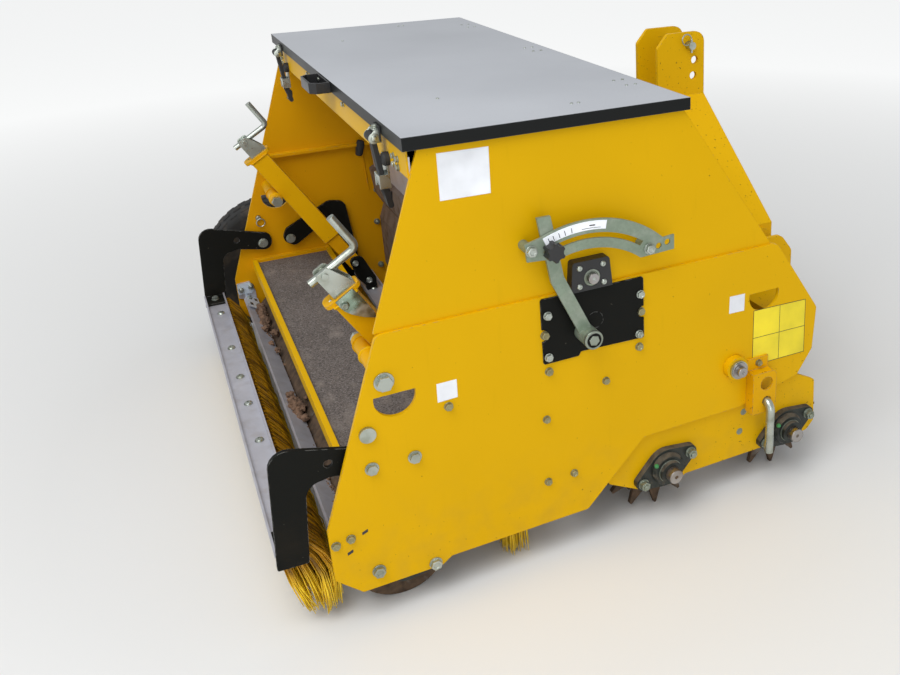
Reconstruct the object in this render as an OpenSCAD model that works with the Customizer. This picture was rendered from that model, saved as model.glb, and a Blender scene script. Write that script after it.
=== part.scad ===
/* [Frame] */
// Width between the two side plates
body_w = 1240; // [1000:10:1600]
// Thickness of the side plates
plate_t = 8; // [6:1:10]
// Height of the side plates' top edge above the ground
plate_top_z = 552; // [540:1:570]
// Width of the flange folded inward along the side plates' top edge
flange_w = 20; // [12:1:30]
// Running clearance between parts that move past each other
run_gap = 5; // [5:1:8]
// Size of the square front beam
beam_size = 80; // [60:5:90]
// Wall of the frame tubes
beam_wall = 6; // [4:1:8]
// Size of the square cross tube over the rear spiked roller
cross_size = 60; // [40:5:70]

/* [Hopper] */
// Height of the hopper's top edge
hopper_top_z = 861; // [800:1:900]
// Thickness of the hopper's end plates
hopper_t = 6; // [4:1:8]
// Thickness of the hopper's folded sheets
sheet_t = 3; // [2:0.5:4]
// Height of the yellow rails round the hopper's mouth
rail_h = 61; // [45:1:80]
// Step of the hopper's end plates in from the side plates' outer face
hopper_step = 6; // [4:1:7]
// Radius of the half-moon lifting holes
moon_r = 36; // [25:1:42]

/* [Lid] */
// Thickness of the lid's sheet
lid_t = 3; // [2:0.5:4]
// Height of the lid's folded lips
lid_lip = 22; // [16:1:30]
// Radius of the lid's hinge barrels
hinge_r = 6; // [5:0.5:8]
// Width of the lid's grab handle
handle_w = 112; // [90:1:140]
// Reach of the lid's grab handle
handle_reach = 40; // [30:1:55]

/* [Rollers] */
// Tip radius of the two spiked rollers
spike_r = 116; // [104:1:118]
// Root radius of the spikes
spike_root_r = 74; // [64:1:80]
// Radius of the spiked rollers' tubes
drum_r = 57; // [45:1:60]
// Thickness of a spiked disc
disc_t = 10; // [6:1:12]
// Discs on one spiked roller
disc_count = 20; // [12:1:24]
// Spikes round one disc
spike_count = 12; // [8:1:16]
// Radius of the rear roller
roller_r = 88; // [70:1:92]
// Radius of the roller shafts
shaft_r = 15; // [12.5:0.5:17.5]
// Distance between the two spiked rollers' axles
axle_gap = 300; // [270:1:310]

/* [Brushes] */
// Thickness of the brush arms
arm_t = 8; // [6:1:10]
// Width of the brush beams
brush_beam_w = 52; // [45:1:64]
// Thickness of the brush beams
brush_beam_t = 4; // [3:0.5:6]
// Width of the middle brush's bristle strip at its root
bristle_w = 34; // [24:1:44]
// Clearance of the middle brush's bristle tips above the ground
tip_z = 2; // [1:0.5:10]
// Clearance of the rear brush's bristle tips above the ground
rear_tip_z = 24; // [10:1:40]

/* [Jacks] */
// Outer size of the jacks' square outer tubes
jack_size = 46; // [40:1:54]
// Wall of the jacks' outer tubes
jack_wall = 4; // [3:0.5:5]
// Distance of each jack in from its side plate
jack_in = 120; // [105:5:180]
// Radius of the crank handles' bar
crank_r = 7; // [5:0.5:9]

/* [Land wheel] */
// Radius of the land wheel
wheel_r = 200; // [180:1:215]
// Width of the land wheel's tyre
tyre_w = 95; // [70:1:120]
// Radius of the land wheel's rim
rim_r = 112; // [100:1:140]

/* [Hitch] */
// Radius of the top link holes
top_hole_r = 9.8; // [9.5:0.1:10.2]
// Radius of the lower link holes
low_hole_r = 11.2; // [11:0.1:11.6]
// Gap between the two cheeks of a lower hitch clevis
clevis_gap = 50; // [46:1:60]
// Thickness of the hitch plates
hitch_t = 10; // [8:1:12]
// Gap between the two top link plates
mast_gap = 90; // [60:1:110]

/* [Hidden] */
$fn = 48;

// Stations along the machine, X forward from the old rear spiked axle
rear_axle_x = -14;
front_axle_x = rear_axle_x + axle_gap;
axle_z = spike_r;
pivot_x = (front_axle_x + rear_axle_x) / 2 + 10;
pivot_z = 304;
roller_x = -551;
roller_z = roller_r;
rear_arm_x = -590;
rear_arm_z = 310;
mid_arm_x = -516;
mid_arm_z = 309;
seed_x = -163;
seed_z = 485;
agitator_x = -171;
agitator_z = 575;
wheel_x = -545;

// Stations across the machine
in_y = body_w / 2;
out_y = in_y + plate_t;
end_out_y = out_y - hopper_step;
end_in_y = end_out_y - hopper_t;
arm_gap = 12;
arm_y = in_y - arm_gap - arm_t;
jack_y = in_y - jack_in;

// Room round the part, for the datum at the middle of its footprint
quadrant_y = out_y + 26;
quadrant_t = 4;
knob_gap = 0.5;
knob_t = 21.5;
reach_rear = -764;
reach_front = 440;
reach_right = -quadrant_y - quadrant_t - knob_gap - knob_t;
reach_left = out_y + 62 + tyre_w;

function unit(v) = v / norm(v);
function arc_pts(c, r, a0, a1, n) = [for (i = [0:n]) let (a = a0 + (a1 - a0) * i / n)
  [c[0] + r * cos(a), c[1] + r * sin(a)]];
function turn(a) = a > 180 ? a - 360 : a < -180 ? a + 360 : a;
function corner(p, q, s, r) = let (
  u = unit(p - q), v = unit(s - q), half = acos(u * v) / 2, d = r / tan(half),
  c = q + unit(u + v) * r / sin(half), e = q + u * d - c, f = q + v * d - c,
  a0 = atan2(e[1], e[0]), a1 = a0 + turn(atan2(f[1], f[0]) - a0))
  arc_pts(c, r, a0, a1, 6);
// Outline through [x, z, corner radius] rows, with the corners as arcs
function rounded(rows) = let (n = len(rows)) [for (i = [0:n - 1]) let (
  q = [rows[i][0], rows[i][1]], p = rows[(i + n - 1) % n], s = rows[(i + 1) % n])
  each rows[i][2] > 0 ? corner([p[0], p[1]], q, [s[0], s[1]], rows[i][2]) : [q]];
// Belt outline round two circles
function belt(a, ra, b, rb) = let (d = b - a, l = norm(d), t = atan2(d[1], d[0]),
  w = acos((ra - rb) / l)) concat(arc_pts(a, ra, t + w, t + 360 - w, 16),
  arc_pts(b, rb, t - w, t + w, 16));

// Everything is drawn at its station and moved so that the datum is the footprint's middle
module at_datum() translate([-(reach_front + reach_rear) / 2, -(reach_left + reach_right) / 2, 0])
  children();
// A 2D outline in the X-Z plane, as a plate from y0 to y1
module plate(y0, y1) translate([0, y1, 0]) rotate([90, 0, 0]) linear_extrude(y1 - y0) children();
// A round bar along Y
module bar_y(x, z, r, y0, y1) translate([x, y1, z]) rotate([90, 0, 0]) cylinder(r = r, h = y1 - y0);
// A hexagon head or nut along Y, r over its corners
module hex_y(x, z, r, y0, y1) translate([x, y1, z]) rotate([90, 0, 0])
  cylinder(r = r, h = y1 - y0, $fn = 6);
// The same on both sides of the centre line
module both_sides() { children(); mirror([0, 1, 0]) children(); }
module left_side() mirror([0, 1, 0]) children();

moon_flat = 7;
module half_moon(x, z) translate([x, z]) intersection() {
  circle(r = moon_r);
  translate([-moon_r, -moon_r]) square([2 * moon_r, moon_r + moon_flat]);
}

plate_rows = [[-556, plate_top_z, 16], [-677, 209, 10], [-677, 109, 10], [-633, 66, 6],
  [-488, 66, 0], [-469, 79, 0], [-191, 79, 8], [-147, 122, 6], [-64, 203, 6], [164, 203, 6],
  [310, 239, 8], [346, 292, 10], [352, 388, 14], [244, plate_top_z, 20]];
moon_rear_x = -537;
moon_front_x = 216;
moon_z = 433;
moon_front_z = moon_z + 14;
window_x0 = -243;
window_x1 = -84;
window_z0 = 436;
window_z1 = 530;
boss_x = -552;
boss_z = 467;
pin_hole_x = rear_arm_x;
pin_hole_z = rear_arm_z + 68;
flange_x0 = -548;
flange_x1 = 236;

module side_plate() {
  plate(-out_y, -in_y) difference() {
    polygon(rounded(plate_rows));
    half_moon(moon_rear_x, moon_z);
    half_moon(moon_front_x, moon_front_z);
    translate([window_x0, window_z0]) square([window_x1 - window_x0, window_z1 - window_z0]);
    translate([pivot_x, pivot_z]) circle(r = pivot_boss_r + 0.3);
    translate([boss_x, boss_z]) circle(r = jack_bolt_r + 0.3);
    translate([rear_arm_x, rear_arm_z]) circle(r = arm_pin_r);
    translate([mid_arm_x, mid_arm_z]) circle(r = arm_pin_r);
    translate([pin_hole_x, pin_hole_z]) circle(r = stop_pin_r);
    translate([lock_x, lock_z]) circle(r = lock_hole_r);
  }
  translate([flange_x0, -in_y, plate_top_z - plate_t]) cube([flange_x1 - flange_x0, flange_w, plate_t]);
}
module side_plate_right() { color("gold") at_datum() side_plate(); }
module side_plate_left() { color("gold") at_datum() left_side() side_plate(); }

end_slope_rear = 0.361;
end_slope_front = 0.684;
end_rear_x = -562;
end_front_x = 232;
end_h = hopper_top_z - plate_top_z;
end_rear_top_x = end_rear_x + end_h * end_slope_rear;
end_front_top_x = end_front_x - end_h * end_slope_front;
module hopper_end() {
  plate(-end_out_y, -end_in_y) difference() {
    polygon([[end_rear_x + 4, plate_top_z], [end_rear_top_x, hopper_top_z],
      [end_front_top_x, hopper_top_z], [end_front_x, plate_top_z]]);
    translate([agitator_x, agitator_z]) circle(r = agitator_r + 1);
  }
}
module hopper_end_right() { color("gold") at_datum() hopper_end(); }
module hopper_end_left() { color("gold") at_datum() left_side() hopper_end(); }

rail_rear_x = -472;
rail_front_x = 31;
rail_z0 = hopper_top_z - rail_h;
rail_lip = 14;
module rail(x, s) {
  plate(-end_in_y, end_in_y) polygon([[x, rail_z0], [x, hopper_top_z], [x + s * rail_lip, hopper_top_z],
    [x + s * rail_lip, hopper_top_z - sheet_t], [x + s * sheet_t, hopper_top_z - sheet_t],
    [x + s * sheet_t, rail_z0]]);
}
module hopper_rails() { color("gold") at_datum() { rail(rail_rear_x, 1); rail(rail_front_x, -1); } }

slope_knee = [-288, 610];
throat_rear_x = -266;
throat_front_x = -89;
module hopper_slopes() {
  rx = rail_rear_x + sheet_t;
  fx = rail_front_x - sheet_t;
  color("silver") at_datum() plate(-end_in_y, end_in_y) {
    polygon([[rx, rail_z0 + 35], [rx, rail_z0], [slope_knee[0], slope_knee[1]],
      [throat_rear_x, plate_top_z], [throat_rear_x + 5, plate_top_z],
      [slope_knee[0] + 4, slope_knee[1] + 2], [rx + sheet_t, rail_z0 + 1],
      [rx + sheet_t, rail_z0 + 35]]);
    polygon([[fx, rail_z0 + 35], [fx, rail_z0], [throat_front_x, plate_top_z],
      [throat_front_x - 4, plate_top_z], [fx - sheet_t, rail_z0 + 1], [fx - sheet_t, rail_z0 + 35]]);
  }
}

seed_r = 28;
seed_shaft_r = 10;
box_y = in_y - flange_w;
box_rear_x = seed_x - seed_r - 14;
box_front_x = seed_x + seed_r + 14;
box_z0 = seed_z - seed_r - 8;
box_knee = [throat_rear_x + 5, 480];
module seed_box() {
  color("silver") at_datum() {
    plate(-box_y, box_y) {
      polygon([[throat_rear_x, plate_top_z], box_knee, [box_rear_x, box_z0],
        [box_rear_x + 2, box_z0 + 2], box_knee + [sheet_t, 1.5], [throat_rear_x + sheet_t, plate_top_z]]);
      polygon([[throat_front_x + 20, plate_top_z], [throat_front_x, plate_top_z - sheet_t],
        [box_front_x, 510], [box_front_x, box_z0], [box_front_x - sheet_t, box_z0],
        [box_front_x - sheet_t, 512], [throat_front_x - 6, plate_top_z]]);
    }
    for (s = [-1, 1]) translate([0, s * (box_y - sheet_t / 2), 0]) plate(-sheet_t / 2, sheet_t / 2)
      difference() {
        polygon([[throat_rear_x, plate_top_z], box_knee, [box_rear_x, box_z0],
          [box_front_x, box_z0], [box_front_x, 510], [throat_front_x, plate_top_z]]);
        translate([seed_x, seed_z]) circle(r = seed_shaft_r + 0.5);
      }
  }
}

deflector_x = -257;
deflector_z0 = 175;
// Down the folded sheet's rear face, from its lip on the seed box
deflector_rows = [box_knee, box_knee - [11, 7], box_knee - [3, 79], [-243, 361], [deflector_x, 323],
  [deflector_x, deflector_z0]];
lip_seat = 0.08;
flange_gap = 4;
tab_w = 24;
module seed_deflector() {
  t = sheet_t;
  n = len(deflector_rows) - 1;
  color("silver") at_datum() {
    plate(-in_y + flange_gap, in_y - flange_gap) polygon(concat(deflector_rows,
      [for (i = [n:-1:1]) deflector_rows[i] + [t, 0]],
      [box_knee + lip_seat * ([box_rear_x, box_z0] - box_knee)]));
    both_sides() translate([deflector_x, -in_y, deflector_z0])
      cube([tab_w, t + flange_gap, deflector_rows[n - 1][1] - deflector_z0]);
  }
}

flute_count = 8;
module seed_roller() {
  color("dimgray") at_datum() {
    plate(-box_y + sheet_t + run_gap, box_y - sheet_t - run_gap) difference() {
      translate([seed_x, seed_z]) circle(r = seed_r);
      for (i = [0:flute_count - 1]) translate([seed_x, seed_z]) rotate(i * 360 / flute_count)
        translate([seed_r, 0]) circle(r = 5);
    }
    bar_y(seed_x, seed_z, seed_shaft_r, -box_y - 10, case_y0 - 1);
  }
}

agitator_r = 10;
tine_r = 4;
tine_reach = 50;
tine_turn = 35;
tine_y = in_y - 60;
tine_count = 9;
module agitator() {
  color("silver") at_datum() {
    bar_y(agitator_x, agitator_z, agitator_r, -end_out_y - block_t - 8, end_out_y + block_t);
    for (i = [0:tine_count - 1])
      translate([agitator_x, tine_y * (2 * i / (tine_count - 1) - 1), agitator_z])
      rotate([0, tine_turn * i, 0]) translate([0, 0, -tine_reach]) cylinder(r = tine_r, h = 2 * tine_reach);
  }
}

block_w = 72;
block_h = 57;
block_t = 20;
block_rake = 5;
seal_r = 16;
module agitator_bearings() {
  x = agitator_x - 1;
  color("black") at_datum() both_sides() difference() {
    plate(-end_out_y - block_t, -end_out_y) polygon(rounded([
      [x - block_w / 2 - block_rake, plate_top_z, 0], [x - block_w / 2, plate_top_z + block_h, 6],
      [x + block_w / 2, plate_top_z + block_h, 6], [x + block_w / 2 + block_rake, plate_top_z, 0]]));
    bar_y(agitator_x, agitator_z, agitator_r + 0.2, -end_out_y - block_t - 1, -end_out_y + 1);
    bar_y(agitator_x, agitator_z, seal_r, -end_out_y - block_t - 1, -end_out_y - block_t + 3);
  }
}

cover_x0 = -268;
cover_x1 = -62;
cover_z0 = 421;
cover_z1 = 549;
notch_r = 12;
notch_z = 478;
cover_rows = [[cover_x0, cover_z0, 4], [cover_x0, cover_z1, 5], [cover_x1, cover_z1, 5],
  [cover_x1, cover_z0 + 3, 4], [-194, cover_z0 + 8, 3], [-198, cover_z0, 4]];
module cover_plates() {
  color("dimgray") at_datum() both_sides() plate(-out_y - sheet_t, -out_y) difference() {
    polygon(rounded(cover_rows));
    for (x = [cover_x0, cover_x1]) translate([x, notch_z]) circle(r = notch_r);
    translate([seed_x, seed_z]) circle(r = seed_shaft_r + 6);
  }
}

deck_x0 = -624;
deck_x1 = -412;
deck_z1 = 259;
deck_h = 30;
rim_w = 12;
module deck_frame() {
  color("gold") at_datum() difference() {
    translate([deck_x0, -in_y, deck_z1 - deck_h]) cube([deck_x1 - deck_x0, body_w, deck_h]);
    translate([deck_x0 + rim_w, -in_y + rim_w, deck_z1 - deck_h - 1])
      cube([deck_x1 - deck_x0 - 2 * rim_w, body_w - 2 * rim_w, deck_h + 2]);
  }
}
floor_t = 5;
module deck_floor() {
  color("gray") at_datum() translate([deck_x0 + rim_w, -in_y + rim_w, deck_z1 - 8 - floor_t])
    cube([deck_x1 - deck_x0 - 2 * rim_w, body_w - 2 * rim_w, floor_t]);
}

module box_tube(x, z, size, wall) difference() {
  translate([x, -in_y, z]) cube([size, body_w, size]);
  translate([x + wall, -in_y - 1, z + wall]) cube([size - 2 * wall, body_w + 2, size - 2 * wall]);
}
beam_x1 = 342;
beam_z0 = 300;
module front_beam() {
  color("gold") at_datum() box_tube(beam_x1 - beam_size, beam_z0, beam_size, beam_wall);
}
cross_x = -92;
cross_z = 300;
module cross_tube() { color("gold") at_datum() box_tube(cross_x, cross_z, cross_size, beam_wall - 1); }

low_inset = 33;
low_x = reach_front - low_inset;
low_z = 390;
mast_bend_z = 727;
mast_x0 = 302;
mast_inset = 6;
mast_x1 = reach_front - mast_inset;
mast_rows = [[mast_x0, mast_bend_z, 0], [mast_x0, 848, 10], [mast_x0 + 29, 881, 10],
  [mast_x1, 881, 26], [mast_x1, mast_bend_z, 0]];
mast_holes = [[mast_x1 - 45, 850], [mast_x1 - 27, 812], [mast_x1 - 31, 774]];
mast_y = mast_gap / 2;
cheek_y = 355;
leg_foot_z = 470;
leg_tab_z = low_z + low_hole_r + 8;
module mast_side() {
  plate(-mast_y - hitch_t, -mast_y) difference() {
    polygon(rounded(mast_rows));
    for (h = mast_holes) translate([h[0], h[1]]) circle(r = top_hole_r);
  }
  translate([mast_x0, 0, 0]) rotate([90, 0, 90]) linear_extrude(mast_x1 - mast_x0)
    polygon([[-mast_y, mast_bend_z], [-mast_y - hitch_t, mast_bend_z], [-cheek_y, leg_foot_z + 6],
      [-cheek_y, leg_tab_z], [-cheek_y + hitch_t, leg_tab_z], [-cheek_y + hitch_t, leg_foot_z - 2],
      [-mast_y, mast_bend_z - 12]]);
}
module headstock() { color("gold") at_datum() both_sides() mast_side(); }

cheek_rows = [[beam_x1, 290, 0], [reach_front - 15, 320, 12], [reach_front, 350, 12],
  [reach_front, 430, 20], [reach_front - 30, 470, 20], [320, 470, 10],
  [beam_x1 - beam_size + 10, beam_z0 + beam_size, 0], [beam_x1, beam_z0 + beam_size, 0]];
module cheek(y) plate(-y - hitch_t, -y) difference() {
  polygon(rounded(cheek_rows));
  translate([low_x, low_z]) circle(r = low_hole_r);
}
module hitch_cheeks() {
  color("gold") at_datum() both_sides() { cheek(cheek_y); cheek(cheek_y + hitch_t + clevis_gap); }
}
module top_link_pin() {
  h = mast_holes[0];
  color("silver") at_datum() {
    bar_y(h[0], h[1], top_hole_r - 0.3, -mast_y - hitch_t - 20, mast_y + hitch_t + 8);
    bar_y(h[0], h[1], top_hole_r + 6, mast_y + hitch_t + 0.3, mast_y + hitch_t + 8);
  }
}

carriage_t = 8;
carriage_y = in_y - 2;
pivot_boss_r = 25;
pivot_pin_r = 11;
pivot_washer_r = 19.5;
pivot_out = 34;
pivot_boss_h = 16;
pivot_washer_t = 6;
carriage_rows = [[-140, 112, 8], [-66, 72, 26], [14, 62, 26], [38, 76, 10], [241, 76, 0],
  [352, 83, 14], [370, 102, 12], [366, 206, 8], [318, 232, 8], [215, 345, 20], [90, 345, 20],
  [-60, 250, 20], [-140, 190, 20]];
module carriage_plates() {
  color("gold") at_datum() both_sides() {
    plate(-carriage_y, -carriage_y + carriage_t) difference() {
      polygon(rounded(carriage_rows));
      for (x = [rear_axle_x, front_axle_x]) translate([x, axle_z]) circle(r = shaft_r + 3);
      translate([pivot_x, pivot_z]) circle(r = pivot_pin_r);
      translate([lock_x, lock_z]) circle(r = lock_hole_r);
    }
    difference() {
      bar_y(pivot_x, pivot_z, pivot_boss_r, -out_y - pivot_boss_h, -carriage_y);
      bar_y(pivot_x, pivot_z, pivot_pin_r, -out_y - pivot_boss_h - 1, -carriage_y + 1);
    }
  }
}
module carriage_pivots() {
  color("silver") at_datum() both_sides() {
    bar_y(pivot_x, pivot_z, pivot_pin_r - 0.3, -out_y - pivot_out, -carriage_y + 2 * carriage_t);
    bar_y(pivot_x, pivot_z, pivot_washer_r, -out_y - pivot_boss_h - pivot_washer_t,
      -out_y - pivot_boss_h - 0.3);
  }
}

bolt_gap = 117;
bearing_t = 14;
bearing_tilt = [20, 20];
housing_r = 42;
ear_r = 15;
locker_r = 24;
module flange_bearing(x, tilt) {
  plate(-carriage_y - bearing_t, -carriage_y) difference() {
    translate([x, axle_z]) rotate(tilt) for (s = [-1, 1]) difference() {
      polygon(belt([s * bolt_gap / 2, 0], ear_r, [0, 0], housing_r));
      if (s > 0) translate([-housing_r - 1, -housing_r]) square([housing_r + 1, 2 * housing_r]);
      if (s < 0) translate([0, -housing_r]) square([housing_r + 1, 2 * housing_r]);
    }
    translate([x, axle_z]) circle(r = shaft_r + 0.2);
  }
  translate([x, -carriage_y - bearing_t, axle_z]) rotate([90, 0, 0]) rotate_extrude()
    polygon([[shaft_r + 0.2, -1], [housing_r - 6, -1], [housing_r - 6, 4], [housing_r - 10, 12],
      [locker_r, 12], [locker_r, 22], [shaft_r + 0.2, 22]]);
}
module roller_bearings() {
  color("slategray") at_datum() both_sides() {
    flange_bearing(rear_axle_x, bearing_tilt[0]);
    flange_bearing(front_axle_x, bearing_tilt[1]);
  }
}

lock_x = 213;
lock_z = 216;
lock_r = 9;
lock_hole_r = 11;
spare_hole_z = lock_z + 41;
spare_hole_r = 15;
bracket_off = 26;
bracket_t = 5;
bracket_x0 = 178;
bracket_x1 = 236;
bracket_z0 = 190;
bracket_z1 = 284;
lock_tab_h = 26;
pin_drop = 116;
pin_bend_r = 18;
module lock_brackets() {
  y = -out_y - bracket_off;
  w = bracket_x1 - bracket_x0;
  color("gold") at_datum() both_sides() {
    plate(y, y + bracket_t) difference() {
      polygon(rounded([[bracket_x0, bracket_z0, 3], [bracket_x0, bracket_z1, 3],
        [bracket_x1, bracket_z1, 12], [bracket_x1, bracket_z0, 8]]));
      translate([lock_x, lock_z]) circle(r = lock_hole_r);
      translate([lock_x - 1, spare_hole_z]) circle(r = spare_hole_r);
    }
    translate([bracket_x0, y + bracket_t, bracket_z0])
      cube([bracket_t, bracket_off - bracket_t, bracket_z1 - bracket_z0]);
    translate([bracket_x0, y + bracket_t, bracket_z1 - bracket_t])
      cube([w - 8, bracket_off - bracket_t, bracket_t]);
    translate([bracket_x0, -out_y - bracket_t, bracket_z1]) cube([w - 8, bracket_t, lock_tab_h]);
  }
}
module lock_pins() {
  y = -out_y - bracket_off + 4;
  color("silver") at_datum() both_sides() {
    bar_y(lock_x, lock_z, lock_r, y, -carriage_y + carriage_t);
    translate([lock_x, y, lock_z - pin_bend_r]) rotate([90, 0, 90]) rotate([0, 0, 90])
      rotate_extrude(angle = 90) translate([pin_bend_r, 0]) circle(r = lock_r);
    translate([lock_x, y - pin_bend_r, lock_z - pin_drop]) cylinder(r = lock_r, h = pin_drop - pin_bend_r);
  }
}

drum_y = carriage_y - carriage_t - 14;
disc_gap = 2 * (drum_y - 20) / (disc_count - 1);
function star(n, turn_by) = [for (i = [0:2 * n - 1]) let (a = turn_by + i * 180 / n - 90,
  w = 180 / n * 0.22)
  each i % 2 == 0
    ? [[spike_r * cos(a - 1.2), spike_r * sin(a - 1.2)], [spike_r * cos(a + 1.2), spike_r * sin(a + 1.2)]]
    : [[spike_root_r * cos(a - w), spike_root_r * sin(a - w)],
      [spike_root_r * cos(a + w), spike_root_r * sin(a + w)]]];
module spiked_roller(x) {
  bar_y(x, axle_z, drum_r, -drum_y, drum_y);
  bar_y(x, axle_z, shaft_r, -out_y - 42, out_y + 42);
  for (i = [0:disc_count - 1]) translate([x, -drum_y + 20 + i * disc_gap, axle_z])
    plate(-disc_t / 2, disc_t / 2) polygon(star(spike_count, (i % 2) * 180 / spike_count));
}
module front_spiked_roller() { color("saddlebrown") at_datum() spiked_roller(front_axle_x); }
module rear_spiked_roller() { color("saddlebrown") at_datum() spiked_roller(rear_axle_x); }

rear_drum_y = in_y - 34;
rear_bearing_t = 20;
module rear_roller() {
  color("saddlebrown") at_datum() {
    bar_y(roller_x, roller_z, roller_r, -rear_drum_y, rear_drum_y);
    bar_y(roller_x, roller_z, shaft_r, -in_y + 2, in_y - 2);
  }
}
module rear_bearings() {
  color("slategray") at_datum() both_sides() plate(-in_y, -in_y + rear_bearing_t) difference() {
    translate([roller_x, roller_z]) rotate(-15) union() {
      polygon(belt([-bolt_gap / 2, 0], 14, [0, 0], 36));
      polygon(belt([bolt_gap / 2, 0], 14, [0, 0], 36));
    }
    translate([roller_x, roller_z]) circle(r = shaft_r + 0.2);
  }
}

scraper_tip = [roller_x - 82, 134];
scraper_back = scraper_tip + [-32, 22];
scraper_t = 6;
scraper_inset = 22;
scraper_y = in_y - scraper_inset;
bracket_foot_t = 5;
bracket_foot_reach = 84;
bracket_foot_y = in_y - bracket_foot_reach;
bracket_rows = [[-676, 154], [-676, 197], [-642, 199], [-630, 168], [-630, 145], [-640, 142]];
module scraper_bar() {
  d = unit(scraper_back - scraper_tip);
  n = [d[1], -d[0]] * scraper_t;
  foot_end = scraper_tip + 0.2 * (scraper_back - scraper_tip);
  color("silver") at_datum() {
    plate(-scraper_y, scraper_y)
      polygon([scraper_tip, scraper_back, scraper_back + n, scraper_tip + n]);
    both_sides() {
      plate(-in_y + bracket_foot_t, -bracket_foot_y)
        polygon([scraper_back + n, foot_end + n, foot_end + n * 1.8, scraper_back + n * 1.8]);
      plate(-in_y, -in_y + bracket_foot_t) polygon(bracket_rows);
    }
  }
}

arm_end_r = 24;
arm_pin_r = 8;
stop_pin_r = 7;
rear_arm_rows = [[rear_arm_x + arm_end_r - 2, rear_arm_z - arm_end_r, 20],
  [rear_arm_x + arm_end_r, rear_arm_z + arm_end_r, 20], [-748, 383, 30], [reach_rear, 150, 4],
  [-711, 148, 4], [-697, 296, 26], [-656, 304, 0]];
hole_arm = [-656, 330];
module rear_arm() plate(-arm_y - arm_t, -arm_y) difference() {
  polygon(rounded(rear_arm_rows));
  translate([rear_arm_x, rear_arm_z]) circle(r = arm_pin_r + 0.2);
  translate(hole_arm) circle(r = stop_pin_r + 0.5);
}
beam_top_z = 178;
rear_beam_x = reach_rear + brush_beam_w / 2;
beam_seat_w = 44;
beam_seat_t = 6;
module rear_brush_arms() {
  color("dimgray") at_datum() both_sides() {
    rear_arm();
    translate([rear_beam_x - beam_seat_w / 2, -arm_y, beam_top_z]) cube([beam_seat_w, 60, beam_seat_t]);
  }
}
lip_h = 9;
module brush_beam(x, z) {
  w = brush_beam_w / 2;
  plate(-arm_y, arm_y) polygon([[x - w, z - brush_beam_t], [x + w, z - brush_beam_t], [x + w, z + lip_h],
    [x + w - brush_beam_t, z + lip_h], [x + w - brush_beam_t, z], [x - w + brush_beam_t, z],
    [x - w + brush_beam_t, z + lip_h], [x - w, z + lip_h]]);
}
module rear_brush_beam() { color("silver") at_datum() brush_beam(rear_beam_x, beam_top_z); }
bristle_y = arm_y - 6;
// The worn rear bristles sweep forward: [forward of the beam's rear edge, height] down both sides
rear_sweep = [[0, beam_top_z - brush_beam_t], [7, 137], [16, 90], [28, 58], [42, rear_tip_z],
  [76, rear_tip_z], [74, 58], [68, 90], [58, 137], [brush_beam_w, beam_top_z - brush_beam_t]];
module rear_bristles() {
  color("goldenrod") at_datum() plate(-bristle_y, bristle_y) translate([reach_rear, 0]) polygon(rear_sweep);
}

mid_beam_x = -330;
mid_beam_z = 160;
eye = [-372, 247];
lug_x0 = mid_beam_x - brush_beam_w / 2 + brush_beam_t + 1;
mid_arm_rows = [[mid_arm_x + 10, mid_arm_z - arm_end_r, 16], [mid_arm_x - arm_end_r, mid_arm_z - 2, 20],
  [mid_arm_x - 8, mid_arm_z + 30, 14], [-400, 400, 24], [-356, 392, 24], [-336, 205, 6],
  [-336, mid_beam_z, 0], [-386, mid_beam_z, 0], [-386, 205, 6], [-400, 352, 20]];
module mid_brush_arms() {
  color("dimgray") at_datum() both_sides() {
    plate(-arm_y - arm_t, -arm_y) difference() {
      polygon(rounded(mid_arm_rows));
      translate([mid_arm_x, mid_arm_z]) circle(r = arm_pin_r + 0.2);
    }
    translate([mid_beam_x - beam_seat_w / 2, -arm_y, mid_beam_z]) cube([beam_seat_w, 50, beam_seat_t]);
    plate(-jack_y + jack_size / 2 - jack_wall, -jack_y + jack_size / 2 - jack_wall + 8)
      polygon(rounded([[mid_beam_x + 10, mid_beam_z, 0], [mid_beam_x + 10, 196, 10],
        [eye[0] + 20, eye[1] + 18, 14], [eye[0] - 18, eye[1] + 18, 14], [mid_beam_x - 40, 200, 10],
        [lug_x0, 176, 0], [lug_x0, mid_beam_z, 0]]));
    bar_y(eye[0], eye[1], eye_r - 1.5, -jack_y - rod_size / 2 - 8, -jack_y + jack_size / 2);
    bar_y(eye[0], eye[1], eye_r + 4, -jack_y - rod_size / 2 - 9, -jack_y - rod_size / 2 - 2);
  }
}
module mid_brush_beam() { color("silver") at_datum() brush_beam(mid_beam_x, mid_beam_z); }
module mid_bristles() {
  w = bristle_w / 2;
  z = mid_beam_z - brush_beam_t;
  color("goldenrod") at_datum() plate(-bristle_y, bristle_y) translate([mid_beam_x, 0])
    polygon([[-w, z], [w, z], [w + 8, tip_z], [-w - 4, tip_z]]);
}

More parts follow.
